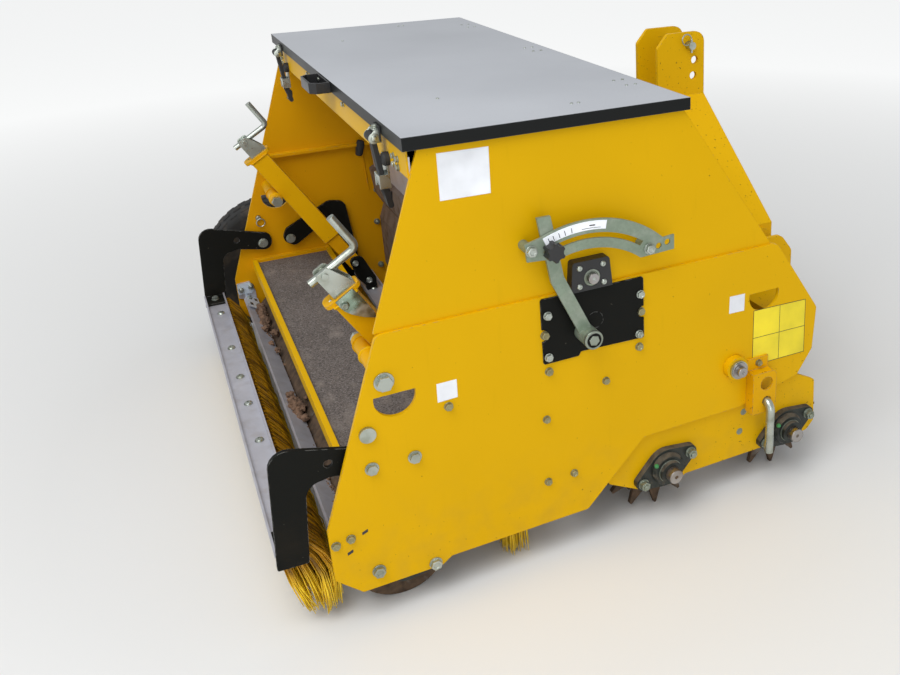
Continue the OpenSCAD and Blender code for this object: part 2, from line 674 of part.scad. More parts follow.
pin_spacer_r = 14;
pin_washer_r = 12;
pin_hex_r = 9.8;
pin_washer_t = 2;
pin_head_h = 9;
stop_head_r = 14;
stop_head_h = 7;
module arm_pins() {
  color("silver") at_datum() both_sides() {
    for (p = [[rear_arm_x, rear_arm_z], [mid_arm_x, mid_arm_z]]) {
      bar_y(p[0], p[1], arm_pin_r - 0.3, -out_y - pin_head_h + 1, -arm_y + pin_head_h - 1);
      bar_y(p[0], p[1], pin_spacer_r, -in_y + 0.3, -arm_y - arm_t - 0.3);
      bar_y(p[0], p[1], pin_washer_r, -out_y - 0.3 - pin_washer_t, -out_y - 0.3);
      hex_y(p[0], p[1], pin_hex_r, -out_y - pin_head_h, -out_y - 0.3 - pin_washer_t);
      bar_y(p[0], p[1], pin_washer_r + 1, -arm_y + 0.3, -arm_y + 0.3 + pin_washer_t);
      hex_y(p[0], p[1], pin_hex_r + 1, -arm_y + 0.3 + pin_washer_t, -arm_y + pin_head_h);
    }
    bar_y(pin_hole_x, pin_hole_z, stop_pin_r - 0.3, -out_y - stop_head_h + 1, -in_y + run_gap + 1);
    bar_y(pin_hole_x, pin_hole_z, stop_head_r, -out_y - stop_head_h, -out_y - 0.3);
  }
}

eye_r = 8;
jack_top = [-576, 580];
jack_dir = unit(eye - jack_top);
jack_len = 292;
rod_size = jack_size - 2 * jack_wall - 2;
jack_bolt_r = 8;
boss_tube_r = 15;
boss_tail = 20;
jack_angle = atan2(jack_dir[0], -jack_dir[1]);
cap_w = 72;
cap_d = 40;
cap_t = 8;
cap_r = 14;
module along_jack() translate([jack_top[0], -jack_y, jack_top[1]]) rotate([0, 180 - jack_angle, 0])
  children();
module jack_tube() {
  inner = jack_size - 2 * jack_wall;
  difference() {
    union() {
      along_jack() translate([-jack_size / 2, -jack_size / 2, 0]) cube([jack_size, jack_size, jack_len]);
      bar_y(boss_x, boss_z, boss_tube_r, -in_y + 0.3, -jack_y + jack_size / 2 + boss_tail);
    }
    along_jack() translate([-inner / 2, -inner / 2, jack_wall]) cube([inner, inner, jack_len]);
    bar_y(boss_x, boss_z, jack_bolt_r + 0.3, -in_y - 1, -jack_y + jack_size / 2 + boss_tail + 1);
  }
  along_jack() translate([0, 0, -cap_t]) linear_extrude(cap_t) polygon(rounded([
    [-cap_w / 2, -cap_d / 2, cap_r], [cap_w / 2, -cap_d / 2, cap_r],
    [cap_w / 2, cap_d / 2, cap_r], [-cap_w / 2, cap_d / 2, cap_r]]));
}
module jack_tube_right() { color("gold") at_datum() jack_tube(); }
module jack_tube_left() { color("gold") at_datum() left_side() jack_tube(); }
rod_start = 90;
module jack_rod() {
  reach = norm(eye - jack_top);
  difference() {
    along_jack() translate([-rod_size / 2, -rod_size / 2, rod_start])
      cube([rod_size, rod_size, reach - rod_start + 14]);
    bar_y(eye[0], eye[1], eye_r, -jack_y - jack_size, -jack_y + jack_size);
  }
}
module jack_rod_right() { color("gold") at_datum() jack_rod(); }
module jack_rod_left() { color("gold") at_datum() left_side() jack_rod(); }

crank_up = 52;
crank_short = 28;
crank_arm = 71;
crank_grip = 58;
elbow_r = 12;
fork_w = 30;
fork_t = 4;
fork_len = 30;
cross_bolt_r = 6;
module jack_crank() {
  arm = crank_arm - elbow_r;
  along_jack() rotate([0, 0, 180]) {
    translate([0, 0, -crank_up]) rotate([0, 90, 0]) translate([0, 0, -crank_short])
      cylinder(r = crank_r, h = crank_short + arm);
    translate([arm, 0, -crank_up - elbow_r]) rotate([-90, 0, 0]) rotate([0, 0, -90])
      rotate_extrude(angle = 90) translate([elbow_r, 0]) circle(r = crank_r);
    translate([crank_arm, 0, -crank_up - elbow_r - crank_grip]) cylinder(r = crank_r, h = crank_grip);
    for (s = [-1, 1]) translate([0, s * (fork_w / 2) + (s > 0 ? 0 : fork_t), 0]) rotate([90, 0, 0])
      linear_extrude(fork_t) polygon(rounded([[-14, -crank_up - 10, 7], [12, -crank_up - 10, 7],
        [fork_len, -cap_t - 6, 4], [fork_len, -cap_t - 0.3, 0], [-14, -cap_t - 0.3, 4]]));
    translate([-14, -fork_w / 2 + 1, -cap_t - fork_t - 0.3]) cube([fork_len + 14, fork_w - 2, fork_t]);
    translate([0, fork_w / 2 + 4, -crank_up]) rotate([90, 0, 0]) cylinder(r = cross_bolt_r, h = fork_w + 8);
  }
}
module jack_crank_right() { color("silver") at_datum() jack_crank(); }
module jack_crank_left() { color("silver") at_datum() left_side() jack_crank(); }
jack_washer_r = 17;
jack_washer_t = 3;
jack_hex_r = 13.9;
jack_head_h = 13;
module jack_bolts() {
  nut_y = -jack_y + jack_size / 2 + boss_tail + 0.3;
  color("silver") at_datum() both_sides() {
    bar_y(boss_x, boss_z, jack_bolt_r, -out_y - jack_head_h + 1, nut_y + jack_head_h - 1);
    bar_y(boss_x, boss_z, jack_washer_r, -out_y - 0.3 - jack_washer_t, -out_y - 0.3);
    hex_y(boss_x, boss_z, jack_hex_r, -out_y - jack_head_h, -out_y - 0.3 - jack_washer_t);
    hex_y(boss_x, boss_z, jack_hex_r, nut_y, nut_y + jack_head_h);
  }
}

lid_x0 = -480;
lid_x1 = 39;
lid_z1 = hopper_top_z + run_gap + lid_t + 1;
lid_y = end_out_y + run_gap + lid_t;
module lid() {
  color("dimgray") at_datum() difference() {
    translate([lid_x0, -lid_y, lid_z1 - lid_lip]) cube([lid_x1 - lid_x0, 2 * lid_y, lid_lip]);
    translate([lid_x0 + lid_t, -lid_y + lid_t, lid_z1 - lid_lip - 1])
      cube([lid_x1 - lid_x0 - 2 * lid_t, 2 * (lid_y - lid_t), lid_lip + 1 - lid_t]);
  }
}
handle_y = -57;
handle_h = 21;
handle_wall = 4;
module lid_handle() {
  d = handle_reach - 0.3;
  w = handle_w / 2;
  color("black") at_datum() translate([lid_x0, handle_y, lid_z1 - 2 - handle_h]) difference() {
    linear_extrude(handle_h)
      polygon([[-d, -w + 14], [-d + 12, -w], [-0.3, -w], [-0.3, w], [-d + 12, w], [-d, w - 14]]);
    translate([0, 0, handle_wall - 1]) linear_extrude(handle_h) polygon([[-d + handle_wall, -w + 16],
      [-d + 14, -w + handle_wall], [-handle_wall, -w + handle_wall], [-handle_wall, w - handle_wall],
      [-d + 14, w - handle_wall], [-d + handle_wall, w - 16]]);
  }
}
latch_y = 485;
strap_w = 21;
strap_t = 8;
clevis_x = lid_x0 - 12;
clevis_z = lid_z1 - 28;
clevis_r = 9;
catch_gap = 1.5;
strap_mid = [rail_rear_x - 11, rail_z0 - 32];
strap_end = [rail_rear_x - 3, rail_z0 - 78];
module lid_straps() {
  half = strap_w / 2;
  color("black") at_datum() both_sides() {
    translate([lid_x0 - 3.3, -latch_y - 18, clevis_z - 6]) cube([3, 36, 26]);
    bar_y(clevis_x, clevis_z, clevis_r, -latch_y - 15, -latch_y + 15);
    translate([clevis_x, -latch_y - 15, clevis_z - 4]) cube([12 - 3.3, 30, 10]);
    plate(-latch_y - half, -latch_y + half) {
      polygon(belt([clevis_x, clevis_z], strap_t / 2, strap_mid, strap_t / 2));
      polygon(belt(strap_mid, strap_t / 2, strap_end, strap_t / 2 + 1));
    }
  }
}
hinge_x = lid_x1 + hinge_r + 0.3;
hinge_z = lid_z1 - lid_lip;
hinge_len = 80;
hinge_ys = [-450, 0, 450];
hinge_leaf_t = 3;
hinge_drop = 26;
module lid_hinges() {
  color("silver") at_datum() for (y = hinge_ys) translate([0, y, 0]) {
    bar_y(hinge_x, hinge_z, hinge_r, -hinge_len / 2, hinge_len / 2);
    translate([rail_front_x + 0.3, -hinge_len / 2, hinge_z - hinge_drop])
      cube([hinge_x - rail_front_x - 2, hinge_len, hinge_leaf_t]);
    translate([rail_front_x + 0.3, -hinge_len / 2, hinge_z - hinge_drop - 14])
      cube([hinge_leaf_t, hinge_len, hinge_drop + 10]);
    translate([hinge_x - 2.3, -hinge_len / 2, hinge_z - hinge_drop])
      cube([hinge_leaf_t, hinge_len, hinge_drop - 2]);
  }
}
ear_t = 4;
catch_z0 = strap_mid[1] - 14;
catch_z1 = strap_mid[1] + 10;
module strap_catches() {
  half = strap_w / 2 + catch_gap;
  color("silver") at_datum() both_sides() {
    translate([rail_rear_x - 4, -latch_y - half - ear_t, catch_z1 - 4])
      cube([3.7, 2 * (half + ear_t), rail_z0 + 10 - catch_z1 + 4]);
    for (y = [-half - ear_t, half]) translate([strap_mid[0] - 8, -latch_y + y, catch_z0])
      cube([rail_rear_x - 0.3 - strap_mid[0] + 8, ear_t, catch_z1 - catch_z0]);
    translate([rail_rear_x - 3, -latch_y - half - 1, catch_z0])
      cube([2.7, 2 * half + 2, catch_z1 - catch_z0]);
  }
}

hub = [-188, 470];
arc_r0 = 168;
arc_r1 = 221;
slot_r = 191;
slot_w = 10;
lever_t = 6;
lever_y = quadrant_y - 1 - lever_t;
lever_a = 109.8;
spacer_r = 9;
spacers = [[-290, 655], [-64, 614]];
spare_holes = [[-44, 615], [-26, 619]];
spare_quadrant_r = 6;
slot_a0 = 55;
slot_a1 = 114;
arc_outer_a0 = 46;
arc_outer_a1 = 112;
arc_inner_a0 = 51;
arc_inner_a1 = 109;
rear_ear = [[-301, 668], [-298, 636], [-270, 634]];
front_ear = [[-78, 600], [-12, 603], [-12, 631]];
module rate_quadrant() {
  color("silver") at_datum() {
    plate(-quadrant_y - quadrant_t, -quadrant_y) difference() {
      polygon(concat(arc_pts(hub, arc_r1, arc_outer_a0, arc_outer_a1, 22), rear_ear,
        arc_pts(hub, arc_r0, arc_inner_a1, arc_inner_a0, 18), front_ear));
      polygon(concat(arc_pts(hub, slot_r + slot_w / 2, slot_a0, slot_a1, 18),
        arc_pts(hub, slot_r - slot_w / 2, slot_a1, slot_a0, 18)));
      for (h = spare_holes) translate(h) circle(r = spare_quadrant_r);
    }
    for (p = spacers) bar_y(p[0], p[1], spacer_r, -quadrant_y, -end_out_y);
  }
}
lever_w = 25;
lever_bend = [-242, 590];
lever_top = [-262, 696];
hub_r = 17.5;
hub_bore_r = 8;
module rate_lever() {
  w = lever_w / 2;
  color("silver") at_datum() {
    plate(-lever_y - lever_t, -lever_y) {
      polygon(belt(hub, w, lever_bend, w));
      polygon(concat([[lever_bend[0] - w, lever_bend[1]], [lever_top[0] - w, lever_top[1] + w],
        [lever_top[0] + w, lever_top[1] + w], [lever_bend[0] + w, lever_bend[1]]]));
    }
    difference() {
      bar_y(hub[0], hub[1], hub_r, -lever_y - 30, -out_y - sheet_t - 0.3);
      bar_y(hub[0], hub[1], hub_bore_r, -lever_y - 31, -lever_y - 8);
    }
  }
}
knob_r = 17;
module rate_knob() {
  c = [hub[0] + slot_r * cos(lever_a), hub[1] + slot_r * sin(lever_a)];
  y = quadrant_y + quadrant_t + knob_gap;
  color("black") at_datum() {
    plate(-y - knob_t, -y) translate(c) difference() {
      circle(r = knob_r);
      for (i = [0:5]) rotate(i * 60) translate([knob_r + 4, 0]) circle(r = 8);
    }
    bar_y(c[0], c[1], slot_w / 2 - 0.5, -y, -lever_y - lever_t - 0.3);
  }
}

wheel_z = wheel_r;
wheel_y0 = out_y + 62;
guard_y0 = end_out_y + block_t + 0.5;
guard_t = 14;
case_y0 = guard_y0 + guard_t + 0.5;
case_t = 26;
tread_r = 8;
bead_in = 8;
module wheel_tyre() {
  w = tyre_w / 2;
  color("saddlebrown") at_datum() translate([wheel_x, wheel_y0 + w, wheel_z]) rotate([90, 0, 0])
    rotate_extrude() polygon(concat([[rim_r, -w + bead_in], [(rim_r + wheel_r) / 2, -w]],
      arc_pts([wheel_r - 26, -w + 22], 22, -80, -10, 5), arc_pts([wheel_r - 26, w - 22], 22, 10, 80, 5),
      [[(rim_r + wheel_r) / 2, w], [rim_r, w - bead_in]],
      [[rim_r, w - 16], [rim_r + 8, w - 24], [rim_r + 8, -w + 24], [rim_r, -w + 16]]));
}
rim_hole_r = 14;
rim_hole_at = rim_r - 24 - rim_hole_r;
module wheel_rim() {
  w = tyre_w / 2;
  color("dimgray") at_datum() translate([wheel_x, wheel_y0 + w, wheel_z]) rotate([90, 0, 0]) difference() {
    rotate_extrude() polygon([[22, -w + 4], [30, -w + 4], [30, -8], [rim_r - 8, -8],
      [rim_r - 8, -w + bead_in + 1], [rim_r, -w + bead_in + 1], [rim_r, w - bead_in - 1],
      [rim_r - 8, w - bead_in - 1], [rim_r - 8, 4],
      [30, 4], [30, w - 10], [22, w - 10]]);
    for (i = [0:4]) rotate(i * 72) translate([rim_hole_at, 0, -20]) cylinder(r = rim_hole_r, h = 40);
  }
}
case_low_r = 40;
case_top_r = 52;
stub_r = 21.5;
module wheel_case() {
  color("dimgray") at_datum() {
    plate(case_y0, case_y0 + case_t)
      polygon(belt([wheel_x, wheel_z], case_low_r, [seed_x, seed_z], case_top_r));
    bar_y(wheel_x, wheel_z, stub_r, case_y0 + case_t, wheel_y0 + tyre_w - 6);
  }
}
guard_low_r = 36;
guard_top_r = 44;
module drive_guard() {
  color("dimgray") at_datum() {
    plate(guard_y0, guard_y0 + guard_t) difference() {
      polygon(belt([seed_x, seed_z], guard_low_r, [agitator_x, agitator_z], guard_top_r));
      translate([seed_x, seed_z]) circle(r = seed_shaft_r + 1);
    }
  }
}

side_plate_right();
side_plate_left();
hopper_end_right();
hopper_end_left();
hopper_rails();
hopper_slopes();
seed_box();
seed_deflector();
seed_roller();
agitator();
agitator_bearings();
cover_plates();
deck_frame();
deck_floor();
front_beam();
cross_tube();
headstock();
hitch_cheeks();
top_link_pin();
carriage_plates();
carriage_pivots();
roller_bearings();
lock_brackets();
lock_pins();
front_spiked_roller();
rear_spiked_roller();
rear_roller();
rear_bearings();
scraper_bar();
rear_brush_arms();
rear_brush_beam();
rear_bristles();
mid_brush_arms();
mid_brush_beam();
mid_bristles();
arm_pins();
jack_tube_right();
jack_tube_left();
jack_rod_right();
jack_rod_left();
jack_crank_right();
jack_crank_left();
jack_bolts();
lid();
lid_handle();
lid_straps();
lid_hinges();
strap_catches();
rate_quadrant();
rate_lever();
rate_knob();
wheel_tyre();
wheel_rim();
wheel_case();
drive_guard();
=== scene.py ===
"""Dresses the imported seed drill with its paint, fastenings, brushes, soil and a plain studio.

Sizes are machine millimetres: X forward, Y to the machine's left, Z up from the ground, with the
centre line at Y 0. Each sub-assembly is a class that holds its sizes and makes its own pieces.
"""
import logging
import math
from dataclasses import dataclass
from enum import Enum
from random import Random
from typing import Optional, Sequence, Union

import bmesh
import bpy
from mathutils import Matrix, Vector, noise


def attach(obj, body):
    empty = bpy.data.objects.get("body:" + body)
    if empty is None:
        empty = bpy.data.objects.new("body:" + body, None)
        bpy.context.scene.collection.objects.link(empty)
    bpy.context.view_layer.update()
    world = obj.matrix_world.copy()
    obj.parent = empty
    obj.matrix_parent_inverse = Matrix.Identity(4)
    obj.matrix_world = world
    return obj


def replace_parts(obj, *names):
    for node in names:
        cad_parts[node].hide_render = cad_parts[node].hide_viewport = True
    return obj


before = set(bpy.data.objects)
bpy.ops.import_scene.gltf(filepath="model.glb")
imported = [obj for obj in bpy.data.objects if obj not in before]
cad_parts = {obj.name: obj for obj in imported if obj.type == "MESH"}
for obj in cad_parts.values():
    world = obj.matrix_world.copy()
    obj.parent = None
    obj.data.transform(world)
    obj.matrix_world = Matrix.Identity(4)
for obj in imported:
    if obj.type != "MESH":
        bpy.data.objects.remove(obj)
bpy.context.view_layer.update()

LOG = logging.getLogger("seed_drill")
Colour = tuple[float, float, float]
Point = Sequence[float]
Place = tuple[float, float]
Places = tuple[Place, ...]
Rows = Sequence[Place]
Socket = bpy.types.NodeSocket
Value = Union[Socket, float, Sequence[float]]
Thing = bpy.types.Object

# Metres in a millimetre
MM = 0.001
# The machine's origin on the ground, seen from the frame's origin
DATUM = Vector((162.0, -52.5, 0.0))
# Both ways across the machine or across a piece
WAYS = (-1, 1)
RIGHTWARD = (0, -1, 0)
LEFTWARD = (0, 1, 0)
UPWARD = (0, 0, 1)
REARWARD = (-1, 0, 0)
# Sides of a hexagon
HEXAGON = 6
# Crease angles that keep weld beads and clods smooth, in degrees
WELD_CREASE = 60
SOIL_CREASE = 70


class Side(Enum):
    """A side of the machine, as the sign of its Y."""

    RIGHT = -1
    LEFT = 1


class Slot(Enum):
    """The material slots."""

    YELLOW = "yellow_paint"
    BLACK = "black_paint"
    GALVANISED = "galvanised"
    ZINC = "zinc"
    CAST = "cast"
    SOIL = "soiled_steel"
    DECK = "deck_cloth"
    BRISTLE = "bristle"
    PLASTIC = "black_plastic"
    RUBBER = "black_rubber"
    TYRE = "tyre"


class Head(Enum):
    """The kinds of fastening that Fastenings draws."""

    HEX = "hex"
    NUT = "nut"
    DOME = "dome"
    SUNK = "sunk"
    PIN = "pin"


class Graph:
    """Short calls that build one material's node tree in object coordinates."""

    def __init__(self, name: str) -> None:
        """Starts a material with its shader.

        Args:
            name: The material's name.
        """
        self.material = bpy.data.materials.new(name)
        self.material.use_nodes = True
        self.tree = self.material.node_tree
        self.shader = self.tree.nodes["Principled BSDF"]
        self.place = self.add("ShaderNodeTexCoord").outputs["Object"]

    def plug(self, socket: Socket, value: Value) -> None:
        """Links a socket or sets its value.

        Args:
            socket: The input.
            value: Another node's output, a number or a colour.
        """
        if isinstance(value, bpy.types.NodeSocket):
            self.tree.links.new(value, socket)
        elif isinstance(value, (int, float)) or len(value) == len(socket.default_value):
            socket.default_value = value
        else:
            socket.default_value = (*value, 1.0)

    def add(self, kind: str, inputs: Optional[dict] = None, **options: object) -> bpy.types.Node:
        """Adds a node.

        Args:
            kind: Its type.
            inputs: Values by input name or number.
            options: Its properties.

        Returns:
            The node.
        """
        node = self.tree.nodes.new(kind)
        for name, value in options.items():
            setattr(node, name, value)
        for key, value in (inputs or {}).items():
            self.plug(node.inputs[key], value)
        return node

    def normal(self) -> Socket:
        """Returns the face's own normal."""
        return self.add("ShaderNodeNewGeometry").outputs["Normal"]

    def stretch(self, scale: Point) -> Socket:
        """Returns the object coordinates scaled along each axis."""
        return self.add("ShaderNodeMapping", {"Vector": self.place, "Scale": scale}).outputs[0]

    def noise(self, scale: float, detail: float = 3.0, place: Optional[Socket] = None) -> Socket:
        """Returns a noise from 0 to 1 at a number of waves a metre."""
        inputs = {"Vector": place or self.place, "Scale": scale, "Detail": detail}
        return self.add("ShaderNodeTexNoise", inputs).outputs["Fac"]

    def cells(self, scale: float) -> Socket:
        """Returns a colour drawn for each cell, at a number of cells a metre."""
        inputs = {"Vector": self.place, "Scale": scale}
        return self.add("ShaderNodeTexVoronoi", inputs).outputs["Color"]

    def span(self, value: Value, low: float, high: float, start: float = 0.0,
             end: float = 1.0) -> Socket:
        """Returns value mapped from low..high to start..end, held at both ends."""
        inputs = {0: value, 1: low, 2: high, 3: start, 4: end}
        return self.add("ShaderNodeMapRange", inputs).outputs[0]

    def maths(self, operation: str, first: Value, second: Value = 0.0) -> Socket:
        """Returns the result of one sum on one or two values."""
        return self.add("ShaderNodeMath", {0: first, 1: second}, operation=operation).outputs[0]

    def plus(self, first: Value, second: Value) -> Socket:
        """Returns two values added."""
        return self.maths("ADD", first, second)

    def times(self, first: Value, second: Value) -> Socket:
        """Returns two values multiplied."""
        return self.maths("MULTIPLY", first, second)

    def mix(self, share: Value, first: Value, second: Value) -> Socket:
        """Returns a colour between two."""
        inputs = {0: share, 6: first, 7: second}
        return self.add("ShaderNodeMix", inputs, data_type="RGBA").outputs[2]

    def axis(self, source: Socket, name: str) -> Socket:
        """Returns one axis of a vector."""
        return self.add("ShaderNodeSeparateXYZ", {0: source}).outputs[name]

    def facing_up(self) -> Socket:
        """Returns 1 on faces that look up, 0 on sides and undersides."""
        return self.span(self.axis(self.normal(), "Z"), 0.3, 0.9)

    def rounded(self, radius: float) -> Socket:
        """Returns a normal that rounds sharp edges to a radius in metres."""
        return self.add("ShaderNodeBevel", {"Radius": radius}, samples=4).outputs[0]

    def edge(self, soft: Socket) -> Socket:
        """Returns 1 along edges and 0 on flats, from a rounded normal."""
        inputs = {0: soft, 1: self.normal()}
        along = self.add("ShaderNodeVectorMath", inputs, operation="DOT_PRODUCT")
        return self.span(along.outputs["Value"], 0.995, 0.93)

    def bump(self, height: Value, depth: float, base: Optional[Socket] = None) -> Socket:
        """Raises a normal.

        Args:
            height: How high each spot lies, 0 to 1.
            depth: What a height of 1 stands for, in metres.
            base: The normal that it starts from, where it isn't the face's own.

        Returns:
            The raised normal.
        """
        inputs = {"Height": height, "Distance": depth, "Strength": 1.0}
        if base is not None:
            inputs["Normal"] = base
        return self.add("ShaderNodeBump", inputs).outputs[0]

    def finish(self, **inputs: Value) -> bpy.types.Material:
        """Plugs the shader's sockets.

        Args:
            inputs: Values by the shader's input names, their spaces written as underscores.

        Returns:
            The material.
        """
        for name, value in inputs.items():
            self.plug(self.shader.inputs[name.replace("_", " ")], value)
        return self.material


def shade(colour: Colour, share: float, lift: float = 0.0) -> list[float]:
    """Returns a colour made darker or lighter, each channel times a share plus a lift."""
    return [channel * share + lift for channel in colour]


@dataclass(frozen=True)
class Finish:
    """A plain moulded finish, and what every finish has.

    Attributes:
        name: The material's name.
        slot: Its material slot; not used.
        colour: The main colour, linear.
        rough: The shader's roughness at the cleanest spot.
    """

    name: str
    slot: Slot
    colour: Colour
    rough: float = 0.4

    def material(self) -> bpy.types.Material:
        """Returns the material, made once."""
        made = bpy.data.materials.get(self.name)
        return made or self.build(Graph(self.name))

    def build(self, g: Graph) -> bpy.types.Material:
        """Builds the finish with a fine grain and faint handling marks.

        Args:
            g: The material's graph.

        Returns:
            The material.
        """
        worn = g.noise(9, 4)
        tone = g.mix(g.span(worn, 0.35, 0.75), self.colour, shade(self.colour, 1.5, 0.004))
        rough = g.span(worn, 0.3, 0.7, self.rough, self.rough + 0.16)
        grain = g.bump(g.noise(1400, 2), 0.00008, g.rounded(0.0012))
        return g.finish(Base_Color=tone, Roughness=rough, Normal=grain)


@dataclass(frozen=True)
class Paint(Finish):
    """Paint on steel, with orange peel, soil specks, scratches and worn edges.

    Attributes:
        worn: The colour under worn edges.
        wear: How much of the edges is worn, 0 for none.
        specks: How much of the face is specked with soil, 0 for none.
        gloss: The shader's specular level.
        fleck: The colour of its specks.
        dust: The colour of the dust low down on it.
        inner: The colour of faces that look to the centre line, where it differs: painted shade,
            darker and more orange.
    """

    worn: Colour = (0.30, 0.22, 0.14)
    wear: float = 0.4
    specks: float = 0.5
    gloss: float = 0.4
    fleck: Colour = (0.075, 0.038, 0.012)
    dust: Colour = (0.20, 0.13, 0.075)
    inner: Optional[Colour] = None

    def coat(self, g: Graph) -> Socket:
        """Mixes the coat before soil and wear.

        Args:
            g: The material's graph.

        Returns:
            Its colour, with clouds, painted shade on inner faces and upright rub marks.
        """
        cloud = g.span(g.noise(3.0, 3), 0.3, 0.7)
        tone = g.mix(cloud, shade(self.colour, 0.965), shade(self.colour, 1.03))
        # Faces that look to the centre line take the inner colour, a painted shade.
        if self.inner:
            outward = g.times(g.axis(g.place, "Y"), g.axis(g.normal(), "Y"))
            tone = g.mix(g.span(outward, -0.2, -0.4), tone, self.inner)
        rub_and_edge_highlight = g.noise(60, 5, g.stretch((1.0, 1.0, 0.12)))
        return g.mix(g.span(rub_and_edge_highlight, 0.62, 0.80, 0.0, 0.22), tone, shade(self.colour, 0.80))

    def flecks(self, g: Graph, height: Socket) -> Socket:
        """Lays out the soil specks, more of them low down and to the front.

        Args:
            g: The material's graph.
            height: The height above the ground.

        Returns:
            1 on a speck and 0 beside it.
        """
        forward = g.span(g.axis(g.place, "X"), 0.10, 0.55, 0.0, 0.07)
        near = g.plus(forward, g.span(height, 0.22, 0.0, 0.0, 0.06))
        patch = g.times(g.span(g.noise(14, 3), 0.4, 0.75), 0.05)
        spots = g.plus(g.plus(g.noise(160, 2), patch), near)
        more = 0.06 * self.specks
        return g.span(spots, 0.80 - more, 0.83 - more)

    def build(self, g: Graph) -> bpy.types.Material:
        """Builds the paint.

        Args:
            g: The material's graph.

        Returns:
            The material.
        """
        height = g.axis(g.place, "Z")
        fleck = self.flecks(g, height)
        tone = g.mix(g.times(fleck, 0.75), self.coat(g), self.fleck)
        dusty = g.times(g.span(height, 0.26, 0.04), g.span(g.noise(22, 4), 0.42, 0.72))
        tone = g.mix(g.times(dusty, 0.38 * self.specks), tone, self.dust)
        soft = g.rounded(0.0016)
        more = 0.2 * self.wear
        chips = g.times(g.edge(soft), g.span(g.noise(95, 4), 0.62 - more, 0.70 - more))
        tone = g.mix(chips, tone, self.worn)
        rough = g.plus(g.span(g.noise(6, 4), 0.3, 0.75, self.rough, self.rough + 0.12),
                       g.times(g.plus(fleck, dusty), 0.3))
        peel = g.bump(g.noise(420, 2), 0.00007, soft)
        return g.finish(Base_Color=tone, Roughness=rough, Specular_IOR_Level=self.gloss,
                        Normal=peel)


@dataclass(frozen=True)
class LidPaint(Finish):
    """The lid's coat: black lips, and a pale top with grit on it, the pale being painted reflection
    of a bright sky.

    Attributes:
        painted_reflection_dark: The top's darker colour.
        painted_reflection_pale: The top's paler colour.
        grit: The colour of the grit on the top.
        rub_and_edge_highlight: The colour along its edges.
    """

    painted_reflection_dark: Colour = (0.50, 0.52, 0.56)
    painted_reflection_pale: Colour = (0.60, 0.62, 0.66)
    grit: Colour = (0.30, 0.30, 0.31)
    rub_and_edge_highlight: Colour = (0.16, 0.17, 0.18)

    def build(self, g: Graph) -> bpy.types.Material:
        """Builds the coat.

        Args:
            g: The material's graph.

        Returns:
            The material.
        """
        # Faces that look up get the pale painted reflection of a bright sky, with more metallic and
        # specular than the lips.
        up = g.facing_up()
        cloud = g.noise(2.2, 4)
        pale = g.mix(g.span(cloud, 0.3, 0.7), self.painted_reflection_dark, self.painted_reflection_pale)
        pale = g.mix(g.span(g.noise(230, 2), 0.66, 0.74, 0.0, 0.25), pale, self.grit)
        soft = g.rounded(0.002)
        tone = g.mix(up, self.colour, pale)
        # Paler along every edge: painted highlight.
        tone = g.mix(g.times(g.edge(soft), 0.5), tone, self.rub_and_edge_highlight)
        return g.finish(Base_Color=tone,
                        Roughness=g.span(cloud, 0.3, 0.7, self.rough, self.rough + 0.09),
                        Metallic=g.span(up, 0, 1, 0.0, 0.45),
                        Specular_IOR_Level=g.span(up, 0, 1, 0.14, 0.5),
                        Normal=g.bump(g.noise(500, 2), 0.00004, soft))


@dataclass(frozen=True)
class Plated(Finish):
    """Bare or plated steel, with spangle, stains and dust, and on the jacks' steel painted
    highlights.

    Attributes:
        spangle: Crystals a metre, or 0 for a smooth plate.
        stain_and_highlight: The colour of its stains, and on the jacks' steel the colour of its
            painted highlights.
        stain_and_highlight_share: How much of it carries that colour, 0 to 1.
        metal: The shader's metallic value.
    """

    spangle: float = 0.0
    stain_and_highlight: Colour = (0.26, 0.25, 0.18)
    stain_and_highlight_share: float = 0.3
    metal: float = 0.85

    def build(self, g: Graph) -> bpy.types.Material:
        """Builds the plate.

        Args:
            g: The material's graph.

        Returns:
            The material.
        """
        tone: Value = g.mix(g.span(g.noise(18, 4), 0.3, 0.7), shade(self.colour, 0.86), self.colour)
        rough: Value = g.span(g.noise(40, 4), 0.3, 0.7, self.rough - 0.05, self.rough + 0.10)
        if self.spangle:
            crystal = g.axis(g.cells(self.spangle), "X")
            tone = g.mix(g.span(crystal, 0, 1, 0.0, 0.35), tone, shade(self.colour, 0.72))
            rough = g.plus(rough, g.span(crystal, 0, 1, -0.05, 0.08))
        # Stained patches; on the jacks' steel these patches are painted highlights.
        mark = g.times(g.span(g.noise(30, 5), 0.50, 0.68), self.stain_and_highlight_share)
        tone = g.mix(mark, tone, self.stain_and_highlight)
        rough = g.plus(rough, g.times(mark, 0.3))
        brushed = g.bump(g.noise(300, 3, g.stretch((1, 0.08, 1))), 0.00004, g.rounded(0.0009))
        return g.finish(Base_Color=tone, Roughness=rough, Metallic=self.metal, Normal=brushed)


